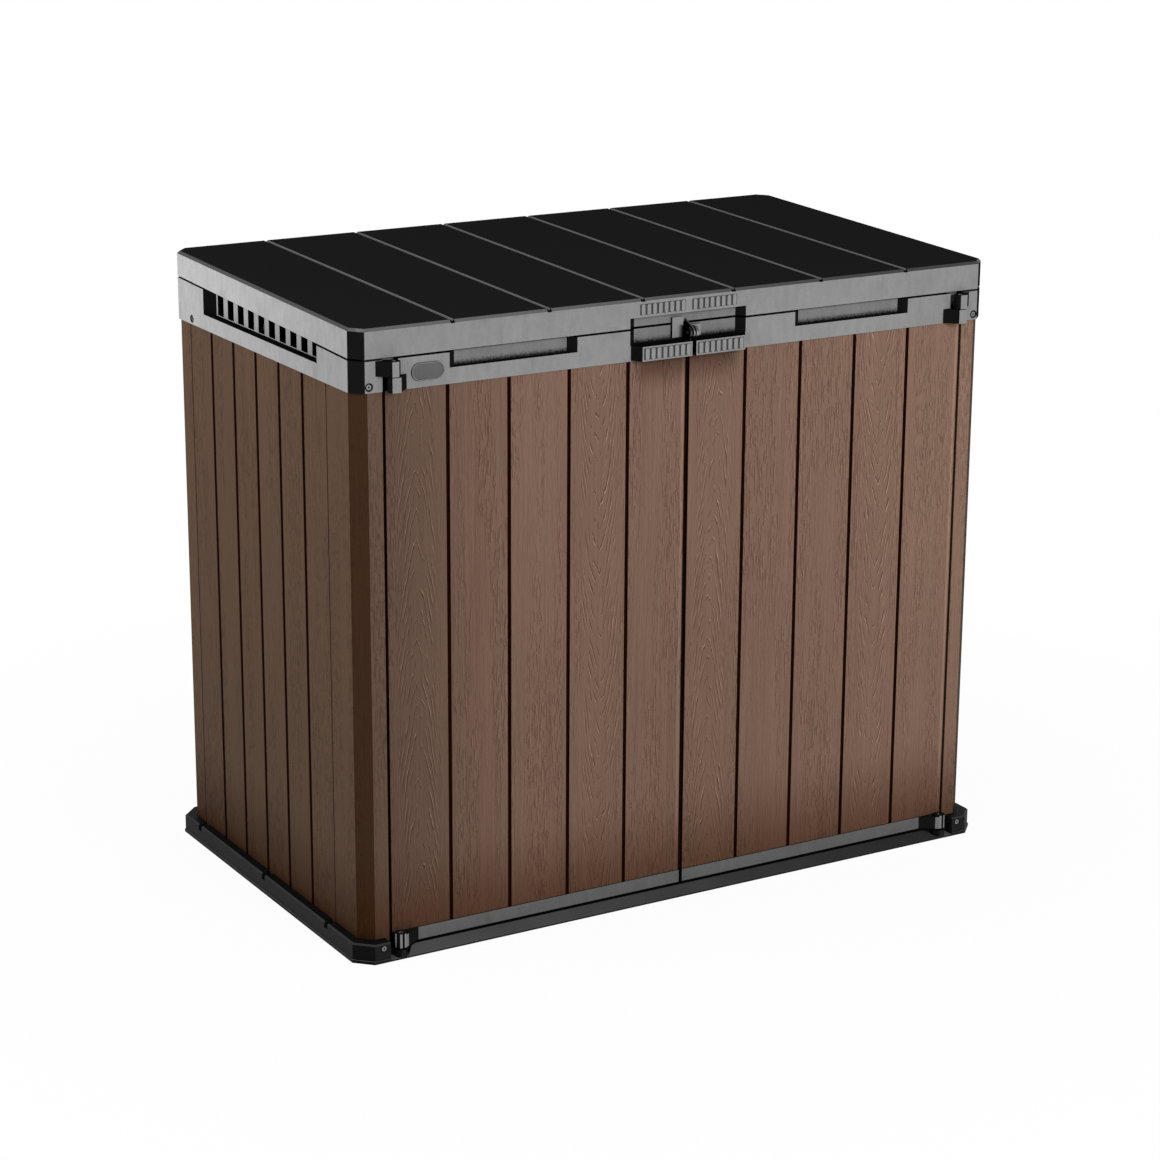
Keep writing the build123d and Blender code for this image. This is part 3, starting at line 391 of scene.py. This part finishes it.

# %% [markdown]
# Each piece now gets its greys: front, side, top and bevel. The side greys are lighter than the
# front ones, which is painted light. The rails at the doors' feet and the bare plate are darker
# than the rest; on the rails that is painted shade.

# %% Dress the collar
FRONT_ZINC, RAIL_SHADED_ZINC, PLATE_ZINC = grey(135), grey(98), grey(95)
LID_RIBS = (0.007, 0.108), (1.178, 1.1985), 0.401
HANDLE_RIBS = (0.0075, 0.1115), (1.097, 1.119), 0.4225
collar = collar_finish("collar_zinc", FRONT_ZINC, grey(180), grey(18), grey(84))
lid = collar_finish("lid_zinc", FRONT_ZINC, grey(190), grey(31), grey(110), LID_RIBS, True,
                    notched_edge)
handle = collar_finish("handle_zinc", FRONT_ZINC, grey(172), grey(14), grey(84), HANDLE_RIBS)
# The rails' darker grey is painted shade.
foot_rail = collar_finish("foot_rail_zinc", RAIL_SHADED_ZINC, RAIL_SHADED_ZINC, grey(24), grey(70),
                          extra=highlighted_hinge)
tab = collar_finish("eye_tab_zinc", FRONT_ZINC, grey(180), grey(18), grey(84), extra=shaded_tab)
plate = collar_finish("badge_zinc", PLATE_ZINC, PLATE_ZINC, grey(40), grey(80))
for name in nodes:
    if name.endswith("bottom_rail"):
        wear(name, foot_rail)
    elif name.endswith("handle"):
        wear(name, handle)
    elif name.endswith("top_rail") or "lock_eye" in name:
        wear(name, collar)
wear("lid_shell", lid)
wear("left_door_lock_eye", tab)
wear("left_door_badge_plate", plate)
print("zinc-grey solids:", sum("zinc" in o.data.materials[0].name for o in nodes.values()))

# %% [markdown]
# ## Planks
# The panels are one moulding each, with grooves that part it into planks. The plastic copies
# brushed wood: short embossed strokes along the plank, in bands. An embossed stroke has a light
# and a dark flank, a painted highlight and painted shade, so each stroke is drawn twice from the
# same noise, the second time darker and shifted a little across the plank.

# %% Brushed strokes
EMBOSS = 2.0 * MM
STROKE, BAND, BAND_LOW = (0.05, 0.13), (-0.08, 0.1), 0.3


def fibres(finish, across, seed):
    """Embossed strokes along the plank, in bands: painted light flanks, painted dark flanks,
    streaks about 0.
    """
    z = finish.place()[2]
    bands = finish.noise((26.0, 11.0, 1.8), 2.0, 0.0, (across, seed, z)).step(*BAND)
    bands = bands * (1 - BAND_LOW) + BAND_LOW
    light, dark = (finish.noise((400.0, 40.0, 38.0), 2.0, 0.0, (across + shift, seed, z))
                   .step(*STROKE) * bands for shift in (0.0, EMBOSS))
    return light, dark, finish.noise((300.0, 40.0, 4.0), 2.0, 5.0, (across, seed, z))


print("strokes embossed by", EMBOSS, "m")

# %% [markdown]
# The two doors repeat the same planks, so on both of them the first and the fourth plank carry
# arches, where growth rings are cut flat: the first plank's point up and the fourth's point down.
# A ring line is where `rise * z + point * |v| + spread * v * v` passes a whole number, with v
# across the plank: the lines meet in a point in the middle and run upright at the sides. Noise
# breaks every line into strokes, and the same strokes feed colour and relief.

# %% Arches of growth rings
RISE, POINT, SPREAD = 24.0, 7.0, 24.0
DRIFT, WOBBLE = 0.5, 1.8
LINE_SPREAD, LINE_WIDTH = 0.9, 0.08
ARCH_EDGE, ARCH_GAPS = (0.2, 0.36), (-0.08, 0.06)
FLANK_NEAR, FLANK_FAR, FLANK_SOFT = 0.1, 0.8, 0.25
ARCH_LIGHT, ARCH_DARK = 1.9, 1.2


def arches(finish, across, v, way, seed):
    """Nested arches, up where way is 1, down at -1, none at 0: painted highlight flanks, painted
    shade flanks, area.
    """
    z = finish.place()[2]
    drift = finish.noise((1.0, 17.0, 1.4), 2.0, 0.0, (across, seed, z))
    wobble = finish.noise((42.0, 23.0, 8.0), 3.0, 0.0, (across, seed, z))
    off = abs(v + drift * DRIFT)
    rings = z * way * RISE + off * POINT + off * off * SPREAD + wobble * WOBBLE
    phase = (rings.maths("FRACT") - 0.5).maths("DIVIDE", off * LINE_SPREAD + LINE_WIDTH)
    area = abs(way) * (1 - off.step(*ARCH_EDGE))
    whole = finish.noise((110.0, 29.0, 16.0), 2.0, 0.0, (across, seed, z)).step(*ARCH_GAPS) * area
    light = phase.within(FLANK_NEAR, FLANK_FAR, FLANK_SOFT) * whole * ARCH_LIGHT
    dark = phase.within(-FLANK_FAR, -FLANK_NEAR, FLANK_SOFT) * whole * ARCH_DARK
    return light, dark, area


print("rings per metre of height:", RISE)

# %% [markdown]
# Inside the box the plastic is plain. Outside, the wood tones follow the picture and carry painted
# light and shade: lighter towards the top, a redder and darker painted shade at the foot, painted
# shade under the grips, and on the front a painted light that is strongest towards its right end.
# All of it is in the colour.

# %% Plank colours
FRONT_WOOD, SIDE_WOOD, CORNER_SHADE_WOOD = brown(120, 95, 81), brown(92, 71, 55), brown(61, 41, 27)
DARK_WOOD, GROOVE_WOOD, INSIDE_WOOD = brown(56, 31, 21), brown(26, 3, 0), brown(70, 54, 45)
FRONT_FOOT_SHADE, SIDE_FOOT_SHADE = (brown(66, 34, 10), 0.66), (brown(50, 27, 8), 0.86)
FOOT_SHADE_Z, WALL_TOP = (0.02, 0.235), 1.1
DARK_FLANK = 0.38
LEFT_RISE, RIGHT_RISE = (-0.72, -0.3), (-0.1, 0.75)
LEFT_END, LEFT_GAIN, RIGHT_GAIN = 0.585, 0.4, 0.2
GRIP_X, GRIP_Y, GRIP_Z, GRIP_SHADE = (0.09, 0.13), (-0.1, 0.1), (1.02, 1.085), 0.6


def toned(finish, colour, level, loss, dark, foot):
    """A wood colour times a level: painted shade lower down, painted dark flanks, painted foot
    shade.
    """
    z = finish.place()[2]
    shade_colour, share = foot
    colour = finish.shade(colour, level * (z * (loss / WALL_TOP) + (1 - loss)))
    colour = finish.mix(dark * DARK_FLANK, colour, DARK_WOOD)
    return finish.mix((1 - z.step(*FOOT_SHADE_Z)) * share, colour, shade_colour)


def front_level(x):
    """The painted light on the front at each x, in two soft rises from left to right."""
    return x.step(*LEFT_RISE) * LEFT_GAIN + x.step(*RIGHT_RISE) * RIGHT_GAIN + LEFT_END


def under_grips(finish):
    """1 on the front in the middle, under the grips, where painted shade goes."""
    x, y, z = finish.place()
    return (1 - abs(x).step(*GRIP_X)) * z.step(*GRIP_Z) * (1 - y.step(*GRIP_Y))


print("front wood", [round(c, 3) for c in FRONT_WOOD])

# %% [markdown]
# A panel's planks are counted along x or y. A plank's number and its panel's place give it a seed
# of its own, so that planks differ. The grooves lie where two planks meet, and the panel's ends
# show as thin seams beside the posts. Only the front and the back have arches, and a painted
# highlight along the last plank's rounded edge.

# %% Plank finish
WOOD_ROUGH, WOOD_GLOSS, WOOD_RELIEF = 0.6, 0.03, 0.7 * MM
GROOVE_HALF, SEAM = (3.4 * MM, 5.2 * MM), (1.8 * MM, 4.0 * MM)
SKIN, INWARD = 4.5 * MM, (-0.3, -0.2)
FRONT_FALL, SIDE_FALL = 0.12, 0.26
FACE_SEED, START_SEED = 7.31, 3.7
FIRST_PLANK, FOURTH_PLANK = (0.4, 0.6), (2.6, 3.4, 0.2)
ROUND_FROM, ROUND_TO, ROUND_SOFT = 0.06, 0.035, 0.015


def plank_gaps(along, v, axis, count, width):
    """1 in the grooves between planks and on the seams at the panel's two ends."""
    end = 0.5 * count * width - SEAM[axis]
    seams = (abs(along - 0.5 * count) * width).step(end, end + MM)
    edge = width / 2 - GROOVE_HALF[axis]
    grooves = (abs(v) * width).step(edge - MM, edge)
    return grooves * along.within(0.5, count - 0.5, 0.1) + seams


def plank_finish(name, axis, start, count, width, face):
    """Brushed planks along axis 0 (x) or 1 (y); face is the panel's distance from the middle."""
    finish = Finish(name, WOOD_ROUGH, WOOD_GLOSS)
    place = finish.place()
    along = (place[axis] - start) * (1 / width)
    number, v = along.maths("FLOOR"), along.maths("FRACT") - 0.5
    seed = finish.add("ShaderNodeTexWhiteNoise", {"noise_dimensions": "1D"},
                      {"W": number + FACE_SEED * face + START_SEED * start})
    light, dark, streaks = fibres(finish, place[axis], seed)
    patches = finish.noise((6.0, 6.0, 2.5), 3.0, seed * 9.0)
    level = 1.0 + streaks * 0.5 + patches * 0.2 + (seed - 0.5) * 0.05
    if axis == 0:
        way = (1 - number.step(*FIRST_PLANK)) - number.within(*FOURTH_PLANK)
        ring_light, ring_dark, area = arches(finish, place[0], v, way, seed)
        plain = 1 - area * 0.7
        light, dark = light * plain + ring_light, dark * plain + ring_dark
        # A painted highlight on the last plank's rounded edge, and the front's painted light.
        edge_highlight = along.within(count - ROUND_FROM, count - ROUND_TO, ROUND_SOFT)
        bright = (level + light * 0.45 + edge_highlight * 0.35) * front_level(place[0])
        colour = toned(finish, FRONT_WOOD, bright, FRONT_FALL, dark, FRONT_FOOT_SHADE)
        # Painted shade under the grips.
        colour = finish.mix(under_grips(finish) * GRIP_SHADE, colour, DARK_WOOD)
    else:
        bright = level + light * 0.15
        colour = toned(finish, SIDE_WOOD, bright, SIDE_FALL, dark * 0.6, SIDE_FOOT_SHADE)
    colour = finish.mix(plank_gaps(along, v, axis, count, width), colour, GROOVE_WOOD)
    depth, way_out = place[1 - axis], finish.facing()[1 - axis]
    outside = abs(depth).step(face - SKIN - MM, face - SKIN) * (depth * way_out).step(*INWARD)
    colour = finish.mix(outside, INSIDE_WOOD, colour)
    relief = light - dark + streaks
    return finish.end(colour, WOOD_ROUGH + relief * 0.2, relief * outside, WOOD_RELIEF)


print("groove half widths:", GROOVE_HALF)

# %% [markdown]
# The corner posts have the same brushed strokes, but no arches and no grooves. Each has a front
# face, a side face and a bevelled corner between them, the darkest of the three, which is painted
# shade. The strokes need one number that runs across all three faces: x plus or minus y does.

# %% Post finish
CORNER_TURN, FRONT_TURN = (0.3, 0.5), (0.8, 0.95)
POST_FALL, POST_FRONT = 0.18, 1.08


def corner_flat(nx, ny):
    """1 on the faces that point between x and y."""
    return abs(nx).step(*CORNER_TURN) * abs(ny).step(*CORNER_TURN)


def post_finish(name, seed, lean):
    """Straight-grained post, darkest by painted shade on its corner flat; x + lean * y runs along
    every face.
    """
    finish = Finish(name, WOOD_ROUGH, WOOD_GLOSS)
    x, y, _ = finish.place()
    nx, ny, _ = finish.facing()
    light, dark, streaks = fibres(finish, x + y * lean, seed)
    bright, dark_flanks = 1.0 + light * 0.2 + streaks * 0.5, dark * 0.8
    # The front's painted light, as on the planks.
    lit = bright * front_level(x) * POST_FRONT
    front = toned(finish, FRONT_WOOD, lit, POST_FALL, dark_flanks, FRONT_FOOT_SHADE)
    side = finish.mix(corner_flat(nx, ny), SIDE_WOOD, CORNER_SHADE_WOOD)
    side = toned(finish, side, bright, POST_FALL, dark_flanks, SIDE_FOOT_SHADE)
    colour = finish.mix(abs(ny).step(*FRONT_TURN), side, front)
    relief = light - dark + streaks
    return finish.end(colour, WOOD_ROUGH + relief * 0.2, relief, WOOD_RELIEF)


print("post finish ready")

# %% [markdown]
# A panel's box gives where its planks start, how wide they are and how far out its face lies.

# %% Dress panels and posts
PLANKS = {"left_door_panel": (0, 5), "right_door_panel": (0, 5), "back_wall_left": (0, 5),
          "back_wall_right": (0, 5), "left_wall": (1, 6), "right_wall": (1, 6)}
POSTS = {"front_left_post": -1.0, "front_right_post": 1.0,
         "rear_left_post": 1.0, "rear_right_post": -1.0}
for name, (axis, count) in PLANKS.items():
    low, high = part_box(name)
    face = max(abs(low[1 - axis]), abs(high[1 - axis]))
    width = (high[axis] - low[axis]) / count
    wear(name, plank_finish(name + "_wood", axis, low[axis], count, width, face))
for number, (name, lean) in enumerate(POSTS.items()):
    wear(name, post_finish(name + "_wood", 0.2 + 0.2 * number, lean))
print("wood finishes:", len(PLANKS) + len(POSTS))

# %% [markdown]
# ## Base
# Floor and sills are black plastic with a fine moulded grain. Bevels, ramp and foot are greyer;
# on the bevels and the foot's top this is a painted highlight. The tops and the corner flats are
# the deepest black, on the corner flats as painted shade, so the surface's direction chooses the
# shade here too. The ramp gets darker from left to right, which is painted shade, and ends in a
# black strip below the doors, which is a painted shadow.

# %% Base finish
BASE_ROUGH, BASE_GREY, BASE_BLACK = 0.55, grey(31), grey(13)
RAMP_LEFT, RAMP_RIGHT, RAMP_SHADOW_BLACK = grey(80), grey(42), grey(10)
BEVEL_HIGHLIGHT_GREY, FOOT_HIGHLIGHT_GREY = grey(50), grey(96)
LEVEL_SLOPE, RAMP_SLOPE, EDGE_SLOPE = (0.95, 0.98), (0.82, 0.93, 0.02), (0.55, 0.78, 0.03)
RAMP_ENDS, RAMP_SHADOW_STRIP, FOOT_TOP = (-0.75, 0.75), (0.0155, 0.0165), 0.010


def base_finish(name):
    """Grained black plastic, greyer on bevels, ramp and foot, with painted highlights and shade."""
    finish = Finish(name, BASE_ROUGH, 0.03)
    x, _, z = finish.place()
    nx, ny, nz = finish.facing()
    grain = finish.noise((700.0, 700.0, 700.0), 3.0)
    clouds = finish.noise((9.0, 9.0, 9.0), 4.0)
    level = nz.step(*LEVEL_SLOPE)
    # Corner flats: painted shade.
    colour = finish.mix(corner_flat(nx, ny), BASE_GREY, BASE_BLACK)
    colour = finish.mix(level, colour, BASE_BLACK)
    # The ramp's darkening to the right is painted shade; its black upper strip is a painted shadow.
    ramp = finish.mix(x.step(*RAMP_ENDS), RAMP_LEFT, RAMP_RIGHT)
    ramp = finish.mix(z.step(*RAMP_SHADOW_STRIP), ramp, RAMP_SHADOW_BLACK)
    colour = finish.mix(nz.within(*RAMP_SLOPE), colour, ramp)
    # Bevels and the foot's top: painted highlights.
    colour = finish.mix(nz.within(*EDGE_SLOPE), colour, BEVEL_HIGHLIGHT_GREY)
    colour = finish.mix(level * (1 - z.step(FOOT_TOP - MM, FOOT_TOP)), colour, FOOT_HIGHLIGHT_GREY)
    colour = finish.shade(colour, 1 + clouds * 0.5 + grain * 0.4)
    return finish.end(colour, BASE_ROUGH + grain * 0.4, grain, MOULD_GRAIN)


base_black = base_finish("base_black")
for name in nodes:
    if name == "floor_panel" or "base_sill" in name:
        wear(name, base_black)
print("base solids:", sum(o.data.materials[0] == base_black for o in nodes.values()))

# %% [markdown]
# ## Metal, struts and rubber
# Pins, screws, brackets and strut rods are zinc-plated steel: a metal whose gloss has soft
# streaks. Strut tubes and their eyes are painted black, and the bumpers are rubber with a dull
# bloom.

# %% Plain finishes
PEEL = 0.15 * MM


def plated_steel(name, colour, roughness):
    """Zinc plate: metal with fine crossing streaks in its roughness."""
    finish = Finish(name, roughness, 0.5)
    finish.shader.inputs["Metallic"].default_value = 1.0
    streaks = finish.noise((900.0, 900.0, 120.0), 3.0)
    bloom = finish.noise((90.0, 90.0, 90.0), 4.0)
    colour = finish.shade(colour, 1 + streaks * 0.3 + bloom * 0.3)
    return finish.end(colour, roughness + streaks * 0.3)


def painted(name, colour, roughness, specular):
    """Painted or moulded black, with clouds and a fine orange-peel relief."""
    finish = Finish(name, roughness, specular)
    peel = finish.noise((600.0, 600.0, 600.0), 2.0)
    clouds = finish.noise((30.0, 30.0, 30.0), 3.0)
    colour = finish.shade(colour, 1 + clouds * 0.5)
    return finish.end(colour, roughness + peel * 0.3, peel, PEEL)


steel = plated_steel("zinc_steel", grey(175), 0.4)
strut_black = painted("strut_black", grey(28), 0.35, 0.4)
rubber = painted("bumper_rubber", grey(24), 0.85, 0.2)
for name in nodes:
    if "bracket" in name or "pin" in name or name.endswith("strut_rod"):
        wear(name, steel)
    elif "strut" in name:
        wear(name, strut_black)
    elif "bumper" in name:
        wear(name, rubber)
print("steel solids:", sum(o.data.materials[0] == steel for o in nodes.values()))

# %% [markdown]
# ## Trim as swept profiles
# Small trim is a closed profile carried round a closed path. Both are arrays of points, and one
# sum over the whole grid gives the surface: no loop over vertices is needed. The last row joins
# the first in both directions, so the surface has no seam. A path that runs the other way round
# its axis would turn the faces inside out, so their corners are then taken in reverse.

# %% A closed profile round a closed path


def sweep(name, path, outward, axis, profile, body, material):
    """Point (i, j) is path[i] + profile[j, 0] * outward[i] + profile[j, 1] * axis."""
    grid = path[:, None] + profile[None, :, :1] * outward[:, None] + profile[None, :, 1:] * axis
    rows, columns = grid.shape[:2]
    i, j = np.meshgrid(np.arange(rows), np.arange(columns), indexing="ij")
    k, m = (i + 1) % rows, (j + 1) % columns
    corners = [i * columns + j, k * columns + j, k * columns + m, i * columns + m]
    faces = np.stack(corners, -1).reshape(-1, 4)
    if np.dot(np.cross(path[1] - path[0], axis), outward[0]) < 0:
        faces = faces[:, ::-1]
    mesh = bpy.data.meshes.new(name)
    mesh.from_pydata(grid.reshape(-1, 3), [], faces)
    mesh.shade_smooth()
    mesh.materials.append(material)
    piece = bpy.data.objects.new(name, mesh)
    scene.collection.objects.link(piece)
    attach(piece, body)
    return piece


def bead(width, height, count=12):
    """Section of a bead: a flat ellipse, whose lower half is sunk in the face."""
    angle = np.linspace(0, 2 * np.pi, count, endpoint=False)
    return np.stack([0.5 * width * np.cos(angle), height * np.sin(angle)], -1)


print("sweep ready")

# %% [markdown]
# ## Rim of the bare plate
# The small plate on the left door has a raised rim. Its path is a slot: two half circles joined
# by straight runs. A point on a slot is a centre point, shifted along x by the sign of the
# cosine, plus the circle's own point.

# %% Plate rim
RIM_W, RIM_H, RIM_POINTS = 2.6 * MM, 0.9 * MM, 72
low, high = (np.array(corner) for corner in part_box("left_door_badge_plate"))
angle = np.linspace(0, 2 * np.pi, RIM_POINTS, endpoint=False)
radius = (high[2] - low[2]) / 2
run = np.array([(high[0] - low[0]) / 2 - radius, 0, 0])
out = np.stack([np.cos(angle), np.zeros_like(angle), np.sin(angle)], -1)
middle = np.array([(low[0] + high[0]) / 2, low[1], (low[2] + high[2]) / 2])
rim_path = middle + out * (radius - 0.5 * RIM_W) + np.sign(np.round(out[:, :1], 6)) * run
rim = sweep("left_door_badge_rim", rim_path, out, np.array([0, -1.0, 0]), bead(RIM_W, RIM_H),
            "left_door", collar)
print(rim.name, len(rim.data.polygons), "faces")

# %% [markdown]
# ## Screws and their cups
# Each screw sits in a black cup, whose lip shows as a dark ring, a painted shadow round the head,
# and its plated head has a dark drive in the middle, which is painted shade. The longest side of a
# screw's box is the way it points. The lip's path is a circle in the face that the screw goes
# into, and the head's finish depends on the distance from the axis.

# %% Screws
CUP_LIP_W, CUP_LIP_H, CUP_POINTS = 2.6 * MM, 0.7 * MM, 48
HEAD_SUNK = 1.0 * MM
HEAD_RING = (2.2 * MM, 4.6 * MM, 0.5 * MM)
DRIVE_SHADE_GREY, HEAD_GREY = grey(34), grey(132)
cup_shadow_black = painted("screw_cup_black", grey(8), 0.6, 0.1)


def screw_finish(name, centre, way):
    """Zinc plate with a dark drive and a dark edge, both painted shade, round an axis through the
    centre.
    """
    finish = Finish(name, 0.5, 0.5)
    finish.shader.inputs["Metallic"].default_value = 1.0
    place = finish.place()
    a, b = (place[i] - float(centre[i]) for i in range(3) if i != way)
    ring = (a * a + b * b).maths("SQRT").within(*HEAD_RING)
    bloom = finish.noise((400.0, 400.0, 400.0), 3.0)
    colour = finish.mix(ring, DRIVE_SHADE_GREY, HEAD_GREY)
    return finish.end(finish.shade(colour, 1 + bloom * 0.5), 0.5 + bloom * 0.3)


screws = [name for name in nodes if "screw" in name]
angle = np.linspace(0, 2 * np.pi, CUP_POINTS, endpoint=False)
for name in screws:
    low, high = (np.array(corner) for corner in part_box(name))
    way = int(np.argmax(high - low))
    first, second = (np.eye(3)[a] for a in range(3) if a != way)
    sign = np.sign(low[way] + high[way])
    centre = (low + high) / 2
    wear(name, screw_finish(name + "_steel", centre, way))
    centre[way] = (high if sign > 0 else low)[way] + sign * HEAD_SUNK
    out = np.cos(angle)[:, None] * first + np.sin(angle)[:, None] * second
    lip = centre + out * ((high[2] - low[2]) / 2 + 0.3 * CUP_LIP_W)
    sweep(name.replace("screw", "screw_cup"), lip, out, sign * np.eye(3)[way],
          bead(CUP_LIP_W, CUP_LIP_H), "box", cup_shadow_black)
print("screws and cups:", len(screws))

# %% [markdown]
# ## Light, floor and background
# The box stands on a pale floor in soft studio light: an even sky and two large lamps. Camera,
# glossy and transmission rays see a plain white sky, so the background and the reflections are
# white, while the light on the box stays at a plain level.

# %% Sky
SKY = 0.52


def seen_directly(graph):
    """1 for camera, glossy and transmission rays."""
    rays = [graph.add("ShaderNodeLightPath", None, None, ray)
            for ray in ("Is Camera Ray", "Is Glossy Ray", "Is Transmission Ray")]
    return rays[0].maths("MAXIMUM", rays[1]).maths("MAXIMUM", rays[2])


world = bpy.data.worlds.new("studio")
world.use_nodes = True
scene.world = world
sky = Graph(world.node_tree)
background = world.node_tree.nodes["Background"]
background.inputs["Color"].default_value = (1, 1, 1, 1)
sky.put(seen_directly(sky) * (1 - SKY) + SKY, background.inputs["Strength"])
print("sky", SKY)

# %% [markdown]
# The floor shows mostly as white too. Round the box it keeps a share of its true shade, which
# holds the shadow, and far off it keeps none, so no horizon shows.

# %% Floor
FLOOR_HALF, FLOOR_DROP = 20.0, 0.5 * MM
FLOOR_PAINT = (0.8, 0.8, 0.8)
SHADOW_SHARE = 0.04
SHADOW_NEAR, SHADOW_FAR = 0.9, 2.2
floor_mesh = bpy.data.meshes.new("studio_floor")
square = np.array([(-1, -1, 0), (1, -1, 0), (1, 1, 0), (-1, 1, 0)])
corners = square * FLOOR_HALF - (0, 0, FLOOR_DROP)
floor_mesh.from_pydata(corners, [], [(0, 1, 2, 3)])
floor = bpy.data.objects.new("studio_floor", floor_mesh)
scene.collection.objects.link(floor)
paint = Finish("studio_floor", 1.0, 0.0)
paint.put(FLOOR_PAINT, paint.shader.inputs["Base Color"])
x, y, _ = paint.place()
far = (x * x + y * y).maths("SQRT").step(SHADOW_NEAR, SHADOW_FAR)
white = seen_directly(paint) * (far * SHADOW_SHARE + (1 - SHADOW_SHARE))
glow = paint.add("ShaderNodeEmission")
both = paint.add("ShaderNodeMixShader", None, {0: white, 2: glow})
paint.tree.links.new(paint.shader.outputs[0], both.socket.node.inputs[1])
paint.put(both, paint.tree.nodes["Material Output"].inputs["Surface"])
floor_mesh.materials.append(paint.material)
print("floor", 2 * FLOOR_HALF, "m")

# %% [markdown]
# Two square lamps shape the box: one on the left, which makes the left side the brightest, and
# one in front. Large lamps give shadows soft edges.

# %% Lamps


def lamp(name, place, aim, size, power):
    """A square area lamp that looks at a point; power is in watts."""
    light = bpy.data.lights.new(name, "AREA")
    light.size = size
    light.energy = power
    holder = bpy.data.objects.new(name, light)
    scene.collection.objects.link(holder)
    look = (Vector(aim) - Vector(place)).to_track_quat("-Z", "Y").to_matrix().to_4x4()
    holder.matrix_world = Matrix.Translation(place) @ look


lamp("left_lamp", (-3.8, 0.6, 2.4), (-0.5, 0.1, 0.8), 1.6, 60.0)
lamp("front_lamp", (0.6, -5.5, 3.0), (0.0, -0.4, 0.7), 1.8, 165.0)
scene.view_settings.view_transform = "Standard"
print("two lamps")
